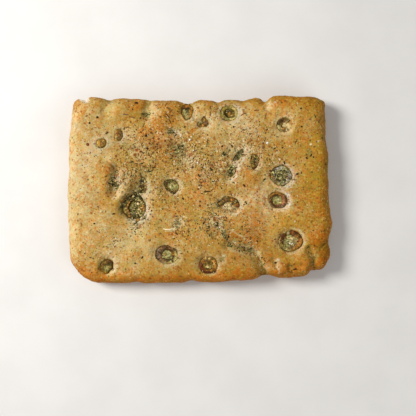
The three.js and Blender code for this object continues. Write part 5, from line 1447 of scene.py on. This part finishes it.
def ring_points(slice_, around=72, across=20):
    """A ring, whole or broken: points, faces, how far out each point is in the flesh, and its angle."""
    half, up = flesh_half_width(slice_), OLIVE_THICKNESS / 2
    sweep = math.radians(slice_["sweep"])
    whole = slice_["sweep"] >= 360
    steps = around if whole else max(12, round(around * slice_["sweep"] / 360))
    turn = np.arange(across) / across * 2 * np.pi
    out, high = [np.sign(wave) * np.abs(wave) ** power
                 for wave, power in ((np.cos(turn), 0.72), (np.sin(turn), 0.62))]
    high = high - 0.10 * (out < 0) * np.abs(out) * (high > 0)
    count = steps if whole else steps + 1
    share = np.arange(count) / steps
    angle = math.radians(slice_["start"]) + sweep * share
    closing = np.ones(count)
    if not whole:
        ends = np.minimum(share, 1 - share) * sweep * slice_["long"]
        closing = np.sqrt(np.clip(1 - (1 - np.clip(ends / ROUNDED_END, 0, 1)) ** 2, 0.01, 1))
    nx, ny = np.cos(angle) * slice_["short"], np.sin(angle) * slice_["long"]
    size = np.hypot(nx, ny)
    far = half * out[None, :] * (uneven(angle, slice_) * closing)[:, None]
    x = ((slice_["long"] - half) * np.cos(angle))[:, None] + (nx / size)[:, None] * far
    y = ((slice_["short"] - half) * np.sin(angle))[:, None] + (ny / size)[:, None] * far
    z = up * high[None, :] * (0.35 + 0.65 * closing)[:, None] + np.zeros_like(x)
    faces = []
    for i in range(steps):
        faces += flipped(between(i * across, (i + 1) % count * across, across))
    if not whole:
        faces.append(list(range(across)))
        faces.append([(count - 1) * across + k for k in reversed(range(across))])
    return np.stack([x, y, z], axis=-1).reshape(-1, 3), faces, np.tile(out, count), np.repeat(angle, across)


def disc_points(slice_, around=64):
    """A slice cut where there is no hole."""
    up = OLIVE_THICKNESS / 2
    angle = np.arange(around) / around * 2 * np.pi
    points, outs, angles = [], [], []
    for out, high in DISC_PROFILE:
        turn = angle[:1 if out == 0 else around]
        points.append(np.stack([np.cos(turn) * out * slice_["long"], np.sin(turn) * out * slice_["short"],
                                np.full(len(turn), high * up)], axis=1))
        outs += [out * (1 if high > -1 else 1.2)] * len(turn)
        angles += turn.tolist()
    faces = closed_faces(len(DISC_PROFILE) - 2, around)
    return np.concatenate(points), faces, np.array(outs) * 2 - 1, np.array(angles)


def with_core(points, faces, outs, angles, slice_, number, rows=9, around=44):
    """The ring with the flesh that fills its hole, as a second closed shape of the same slice."""
    if not has_core(slice_):
        return points, faces, outs, angles
    wall = 1.7 * flesh_half_width(slice_)
    turn = np.arange(around) / around * 2 * np.pi
    top = OLIVE_THICKNESS / 2 + slice_["lift"]
    added = [np.array([[0, 0, top]])]
    for reach in np.arange(1, rows + 1) / rows:
        added.append(np.stack([(slice_["long"] - wall) * reach * np.cos(turn),
                               (slice_["short"] - wall) * reach * np.sin(turn),
                               np.full(around, top + CORE_DISH * reach ** 2)], axis=1))
    added = np.concatenate([*added, [[0, 0, top - 1]]])
    place = added[:-1] + np.array([slice_["x"], slice_["y"], 0])
    added[:-1, 2] += layered(place, (0.3, 1.6, 180 + number), (0.25, 3, 210 + number))
    # The first tip is on top here, so the faces run the other way round.
    faces = faces + [[len(points) + v for v in face] for face in flipped(closed_faces(rows, around))]
    return (np.concatenate([points, added]), faces, np.concatenate([outs, np.full(len(added), CORE_OUT)]),
            np.concatenate([angles, np.arctan2(added[:, 1], added[:, 0])]))


def make_olive(slice_, name, number, material):
    """Wrinkled flesh in the slice's own place, with its bulges and colours; noise seeds differ by slice."""
    middle = np.array([slice_["x"], slice_["y"], 0])
    points, faces, outs, angles = (disc_points if slice_["hole"] == 0 else ring_points)(slice_)
    near = points + middle
    wrinkle = layered(near, (0.45, 3.4, 30 + number), (0.22, 1.5, 60 + number))
    points[:, :2] += np.stack([np.cos(angles), np.sin(angles)], axis=1) * wrinkle[:, None]
    points[:, 2] += np.where(points[:, 2] > 0, 0.9 * wrinkle + layered(near, (0.25, 2.2, 120 + number)), 0)
    points, faces, outs, angles = with_core(points, faces, outs, angles, slice_, number)
    near = points + middle
    blotch = lattice_noise(near, 2.4, 90 + number)
    speckled = lattice_noise(near, 1.1, 150 + number)
    turned, at = slice_place(slice_)
    placed = points @ turned.T + at
    bulge = round_about(placed[:, 0], placed[:, 1], slice_, slice_["bulges"]) * np.maximum(outs, 0)
    narrowed = round_about(placed[:, 0], placed[:, 1], slice_, slice_["narrowed"])
    bulge = bulge - narrowed * np.clip(-outs, 0, 1) * (outs > CORE_OUT)
    away = placed[:, :2] - at[:2]
    placed[:, :2] += away / np.maximum(np.linalg.norm(away, axis=1, keepdims=True), 0.1) * bulge[:, None]
    # Flesh, the inner wall over it, and the skin over both, then the core, the marks and the speckle.
    drift = np.arctan2(away[:, 1], away[:, 0]) + 0.25 * blotch
    toward_hole = smooth_step(slice_["inner_to"] + 0.15, slice_["inner_to"] - 0.15, outs + 0.15 * blotch)
    toward_skin = smooth_step(slice_["skin_from"] - 0.12, slice_["skin_from"] + 0.12, outs + 0.14 * blotch)
    toward_skin = np.maximum(toward_skin, smooth_step(0.4, -0.8, points[:, 2]) * (outs > CORE_OUT))
    colour = colour_round(slice_["flesh"], drift)
    for band, amount in (("inner", toward_hole[:, None]), ("skin", toward_skin[:, None])):
        colour = colour * (1 - amount) + colour_round(slice_[band], drift) * amount
    if has_core(slice_):
        colour = np.where((outs == CORE_OUT)[:, None], np.array(linear(slice_["core"])), colour)
    colour, _ = marked(colour, placed, slice_, 0.3 * speckled)
    speckled = slice_["rough"] * speckled[:, None] * np.array([0.8, 1, 1.2])
    colour = colour * np.clip(1 + 0.25 * blotch[:, None] + speckled, 0.3, 2)
    paint = np.concatenate([np.clip(colour, 0.004, 1), np.ones((len(colour), 1))], axis=1)
    new_piece(name, placed, faces, material, f"olive_{number:02d}", "olive", paint)
    return placed, faces


# ------------------------------------------------------------------ herbs, flecks, salt and lumps

FLAKE_COUNTS = dict(middle=650, tiny=4200, salt=90)

OCTAHEDRON = (np.array([(1, 0, 0), (0, 1, 0), (-1, 0, 0), (0, -1, 0), (0, 0, 1), (0, 0, -1)], dtype=float),
              [(0, 1, 4), (1, 2, 4), (2, 3, 4), (3, 0, 4), (1, 0, 5), (2, 1, 5), (3, 2, 5), (0, 3, 5)])


def leaf_shape(stations=7, across=6):
    """A curled leaf of unit half length, closed and thin, pointed at both ends."""
    points = [(-1, 0, 0)]
    for i in range(1, stations):
        t = 2 * i / stations - 1
        wide = (1 - t * t) ** 0.7
        lift = 0.35 * (1 - t * t) + 0.12 * t
        for turn in [2 * math.pi * k / across for k in range(across)]:
            curl = 0.35 * wide * math.sin(turn) + 0.25 * wide * math.cos(turn) ** 2
            points.append((t, wide * math.cos(turn), lift + curl))
    points.append((1, 0, 0.1))
    return np.array(points, dtype=float), closed_faces(stations - 1, across)


def blob_shape(around=10, rows=6):
    """A ball of unit radius."""
    points = [(0, 0, -1)]
    for row in range(1, rows):
        turn = math.pi * row / rows - math.pi / 2
        for spin in [2 * math.pi * k / around for k in range(around)]:
            points.append((math.cos(turn) * math.cos(spin), math.cos(turn) * math.sin(spin), math.sin(turn)))
    points.append((0, 0, 1))
    return np.array(points, dtype=float), closed_faces(rows - 1, around)


def stem_shape(bend, taper=0.75, around=6, steps=9):
    """A thin stem of unit half length and unit radius, bent sideways by `bend` mm."""
    points, faces = [], []
    for i in range(steps):
        t = 2 * i / (steps - 1) - 1
        radius = (1 - (1 - taper) * (t + 1) / 2) * math.sqrt(max(0.05, 1 - abs(t) ** 9))
        for turn in [2 * math.pi * k / around for k in range(around)]:
            points.append((t, bend * (1 - t * t) + radius * math.cos(turn), radius * math.sin(turn)))
    for p in range(0, (steps - 1) * around, around):
        faces += flipped(between(p, p + around, around))
    faces.append(tuple(range(around)))
    faces.append(tuple((steps - 1) * around + k for k in reversed(range(around))))
    return np.array(points, dtype=float), faces


RAY_FROM = 90  # height that the search for the crust starts from
LEAST_UP = 0.25  # nothing lies where the crust's normal points up less than this


class Heap:
    """Many small closed shapes gathered into one mesh, each with its own colour."""

    def __init__(self, surface):
        self.surface = surface
        self.points, self.faces, self.paint, self.count = [], [], [], 0

    def add(self, shape, x, y, size, turn, tilt, colour, lift=0.0):
        """Lays a shape on the surface, `lift` mm up along its normal, and says whether it lies there."""
        place, normal, *_ = self.surface.ray_cast(Vector((x, y, RAY_FROM)), Vector((0, 0, -1)))
        if place is None or normal.z < LEAST_UP:
            return False
        lean = Vector((0, 0, 1)).rotation_difference(normal).to_matrix()
        spin = Matrix.Rotation(turn, 3, "Z") @ Matrix.Rotation(tilt, 3, "Y")
        turned = np.array(lean @ spin)
        points, faces = shape
        at = np.array(place) + np.array(normal) * lift
        self.points.append((points * np.array(size)) @ turned.T + at)
        self.faces += [tuple(self.count + v for v in face) for face in faces]
        self.count += len(points)
        self.paint.append(np.tile([*np.clip(colour, 0.003, 1), 1], (len(points), 1)))
        return True

    def piece(self, name, material, slot="crust"):
        new_piece(name, np.concatenate(self.points), self.faces, material, "bread", slot,
                  np.concatenate(self.paint))


def shaded(name, random, spread=0.3):
    return np.array(linear(name)) * (1 + spread * (2 * random.random() - 1))


def clear_of_olives(x, y, margin):
    return all(float(distance_from_olive(x, y, slice_, margin)) > 1 for slice_ in OLIVES)


def make_large_flakes(heap):
    """Leaves where the solid has its flakes."""
    numbers = mulberry(FLAKE_SEED)
    random = np.random.default_rng(5)
    leaf, done = leaf_shape(), 0
    while done < HERB_FLAKES:
        x = (2 * next(numbers) - 1) * HALF_LENGTH * FLAKE_FIELD[0]
        y = (2 * next(numbers) - 1) * HALF_WIDTH * FLAKE_FIELD[1]
        chance, size, turn, tilt = [next(numbers) for _ in range(4)]
        if chance > float(herb_share(x, y, FLAKE_PATCHES)) or not clear_of_olives(x, y, FLAKE_MARGIN):
            continue
        scale = FLAKE["smallest"] + (1 - FLAKE["smallest"]) * 2 * size
        sizes = [FLAKE[side] * scale * share for side, share in LEAF_SHARE.items()]
        colour = shaded(random.choice(["dark olive", "sage", "brown", "umber", "straw"]), random)
        heap.add(leaf, x, y, sizes, turn * math.pi, (tilt - 0.5) * 0.7, colour, 0.05)
        done += 1


def scatter(heap, shape, count, seed, sizes, colours, share, spread=0.3, lift=0.02):
    """Flakes strewn over the crust, by chance: sizes are of the smallest and the largest flake."""
    random = np.random.default_rng(seed)
    low, high = np.array(sizes[0]), np.array(sizes[1])
    done = 0
    while done < count:
        x = (2 * random.random() - 1) * (HALF_LENGTH - 3)
        y = (2 * random.random() - 1) * (HALF_WIDTH - 3)
        chance, size, turn, tilt = random.random(4)
        colour = shaded(colours[random.integers(len(colours))], random, spread)
        if chance > share(x, y):
            continue
        done += heap.add(shape, x, y, low + (high - low) * size ** 2, turn * 2 * math.pi, (tilt - 0.5) * 0.8,
                         colour, lift)


def heap_up(heap, shape, seed, sizes, colours, per_heap, spread=0.35):
    """The same flakes in small heaps, thickest in the middle of each."""
    random = np.random.default_rng(seed)
    low, high = np.array(sizes[0]), np.array(sizes[1])
    for heap_x, heap_y, count, wide in HERB_HEAPS:
        for _ in range(round(count * per_heap)):
            dx, dy = random.normal(0, wide * 0.62, 2)
            size, turn, tilt = random.random(3)
            colour = shaded(colours[random.integers(len(colours))], random, spread)
            heap.add(shape, heap_x + dx, heap_y + dy, low + (high - low) * size ** 2, turn * 2 * math.pi,
                     (tilt - 0.5) * 1.2, colour, 0.12)


def make_scatter(surface):
    herb_look = painted_material("dried_herb", 0.8, 0.15, 0.7, 0.3, 0.1)
    fleck_look = painted_material("baked_fleck", 0.7, 0.2, 0.8, 0.25, 0.1)
    lump_look = painted_material("soft_lump", 0.5, 0.35, 1.1, 0.32, 0.25, 0.05)
    small_leaf = leaf_shape(5, 4)
    leaves, crumbs, reds, pales, darks, stems, salt, lumps = [Heap(surface) for _ in range(8)]
    make_large_flakes(leaves)
    scatter(leaves, small_leaf, FLAKE_COUNTS["middle"], 21, ((0.5, 0.28, 0.2), (1.5, 0.5, 0.35)),
            ["dark olive", "deep green", "sage", "umber", "brown", "brown"], near_herbs)
    heap_up(leaves, small_leaf, 31, ((0.8, 0.3, 0.2), (2.2, 0.7, 0.45)),
            ["olive drab", "deep green", "sage", "dark olive", "khaki"], 0.5)
    leaves.piece("herb_leaves", herb_look)
    scatter(crumbs, OCTAHEDRON, FLAKE_COUNTS["tiny"], 22, ((0.3, 0.22, 0.12), (0.75, 0.5, 0.25)),
            ["dark toast", "dark olive", "umber", "sage", "brown", "deep green", "rust"], near_herbs)
    scatter(crumbs, OCTAHEDRON, FLAKE_COUNTS["tiny"] // 9, 23, ((0.3, 0.25, 0.12), (0.7, 0.5, 0.25)),
            ["umber", "dark toast"], anywhere)
    heap_up(crumbs, OCTAHEDRON, 32, ((0.4, 0.3, 0.15), (1, 0.7, 0.3)),
            ["deep green", "dark olive", "sage", "slate"], 0.8)
    crumbs.piece("herb_crumbs", herb_look)
    scatter(reds, OCTAHEDRON, FLAKE_COUNTS["tiny"] // 6, 24, ((0.4, 0.3, 0.15), (0.9, 0.7, 0.3)),
            ["rust", "toast", "dark toast"], anywhere)
    scatter(pales, OCTAHEDRON, FLAKE_COUNTS["tiny"] // 5, 25, ((0.35, 0.3, 0.15), (0.8, 0.6, 0.3)),
            ["cream", "dough", "green cream"], nearly_near_herbs)
    heap_up(pales, OCTAHEDRON, 33, ((0.4, 0.3, 0.15), (1, 0.7, 0.35)),
            ["cream", "pale sage", "khaki", "dough"], 0.3)
    random = np.random.default_rng(6)
    for x, y, long, wide, turn, kind in SPECKS:
        heap, colour, shade = (reds, "rust", 0.9) if kind == "red" else (darks, "umber", 0.5)
        heap.add(leaf_shape(5, 6), x, y, (long, wide, 0.5), math.radians(turn), 0.1,
                 np.array(linear(colour)) * shade, 0.05)
    darks.piece("dark_specks", herb_look)
    reds.piece("chilli_flecks", fleck_look)
    pales.piece("pale_flecks", fleck_look)
    for x, y, turn, long, bend, radius, colour in STEMS:
        stems.add(stem_shape(bend / radius), x, y, (long / 2, radius, radius), math.radians(turn), 0.0,
                  shaded(colour, random, 0.1), 0.15)
    stems.piece("herb_stems", herb_look)
    for x, y, size in GRAINS:
        salt.add(OCTAHEDRON, x, y, (size, size * 0.8, size * 0.6), random.random() * 6, 0.4,
                 np.array(linear("torn dough")) * 1.1, 0.2)
    scatter(salt, OCTAHEDRON, FLAKE_COUNTS["salt"], 26, ((0.3, 0.3, 0.25), (0.7, 0.6, 0.4)),
            ["torn dough"], anywhere, 0.05, 0.1)
    salt.piece("salt_grains", salt_material())
    for x, y, long, wide, thick, turn, colour in LUMPS:
        lumps.add(blob_shape(), x, y, (long, wide, thick * 0.6), math.radians(turn), 0.0,
                  shaded(colour, random, 0.1), 0.1 * thick)
    lumps.piece("olive_bits", lump_look, "olive")


def salt_material():
    material, tree, shader = new_material("salt", 0.35, 0.5)
    tint = noise(tree, millimetres(tree), 0.6)
    colour = mix_colour(tree, tint, (0.9, 0.88, 0.82, 1), (0.75, 0.7, 0.6, 1))
    tree.links.new(colour, shader.inputs["Base Color"])
    return material


def make_surface(parts):
    """One search tree of the crust and the slices, for what lies on them."""
    points, faces, count = [], [], 0
    for part_points, part_faces in parts:
        points += part_points.tolist()
        faces += [[count + v for v in face] for face in part_faces]
        count += len(part_points)
    return BVHTree.FromPolygons(points, faces)


# ------------------------------------------------------------------ stage

PHOTO_SIDE_PX = 416
FOCAL_LENGTH_PX = 615.8
SENSOR_MM = 36
CAMERA_AT = (7.4, -17.6, 600)  # looks straight down from here, with +Y up in the picture
FLOOR_HALF = 1.1  # in metres, as are the lamps' places and sizes
WORLD_COLOUR = (0.31, 0.31, 0.315, 1)
LAMP_COLOUR = (1, 0.98, 0.95)


def make_camera():
    data = bpy.data.cameras.new("camera")
    data.sensor_width = SENSOR_MM
    data.lens = FOCAL_LENGTH_PX / PHOTO_SIDE_PX * SENSOR_MM
    data.clip_start = 0.05
    camera = bpy.data.objects.new("camera", data)
    camera.location = Vector(CAMERA_AT) * MM
    bpy.context.scene.collection.objects.link(camera)
    bpy.context.scene.camera = camera


def make_area_light(name, at, size, watts):
    data = bpy.data.lights.new(name, "AREA")
    data.shape, data.size, data.energy, data.color = "DISK", size, watts, LAMP_COLOUR
    light = bpy.data.objects.new(name, data)
    light.location = at
    light.rotation_euler = (-Vector(at)).to_track_quat("-Z", "Y").to_euler()
    bpy.context.scene.collection.objects.link(light)


def make_stage():
    scene = bpy.context.scene
    scene.view_settings.view_transform = "Standard"
    scene.world = scene.world or bpy.data.worlds.new("world")
    scene.world.use_nodes = True
    background = scene.world.node_tree.nodes["Background"]
    background.inputs["Color"].default_value = WORLD_COLOUR
    background.inputs["Strength"].default_value = 1.0
    make_area_light("key", (-0.7, 0.24, 0.8), 0.42, 12)
    make_area_light("fill", (0.7, -0.6, 0.8), 0.8, 3)
    corners = [(x * FLOOR_HALF, y * FLOOR_HALF, 0) for x, y in ((-1, -1), (1, -1), (1, 1), (-1, 1))]
    mesh = bpy.data.meshes.new("floor")
    mesh.from_pydata(corners, [], [(0, 1, 2, 3)])
    material, tree, shader = new_material("floor", 0.85, 0.2)
    tint = stepped(tree, noise(tree, millimetres(tree), 60, 4), 0.3, 0.7)
    tinted_floor = mix_colour(tree, tint, (0.72, 0.71, 0.69, 1), (0.76, 0.75, 0.73, 1))
    tree.links.new(tinted_floor, shader.inputs["Base Color"])
    mesh.materials.append(material)
    floor = bpy.data.objects.new("floor", mesh)
    scene.collection.objects.link(floor)


make_camera()
make_stage()
parts = [make_crust()]
olive_look = olive_material()
for number, slice_ in enumerate(OLIVES, 1):
    parts.append(make_olive(slice_, f"olive_slice_{number:02d}", number, olive_look))
make_scatter(make_surface(parts))
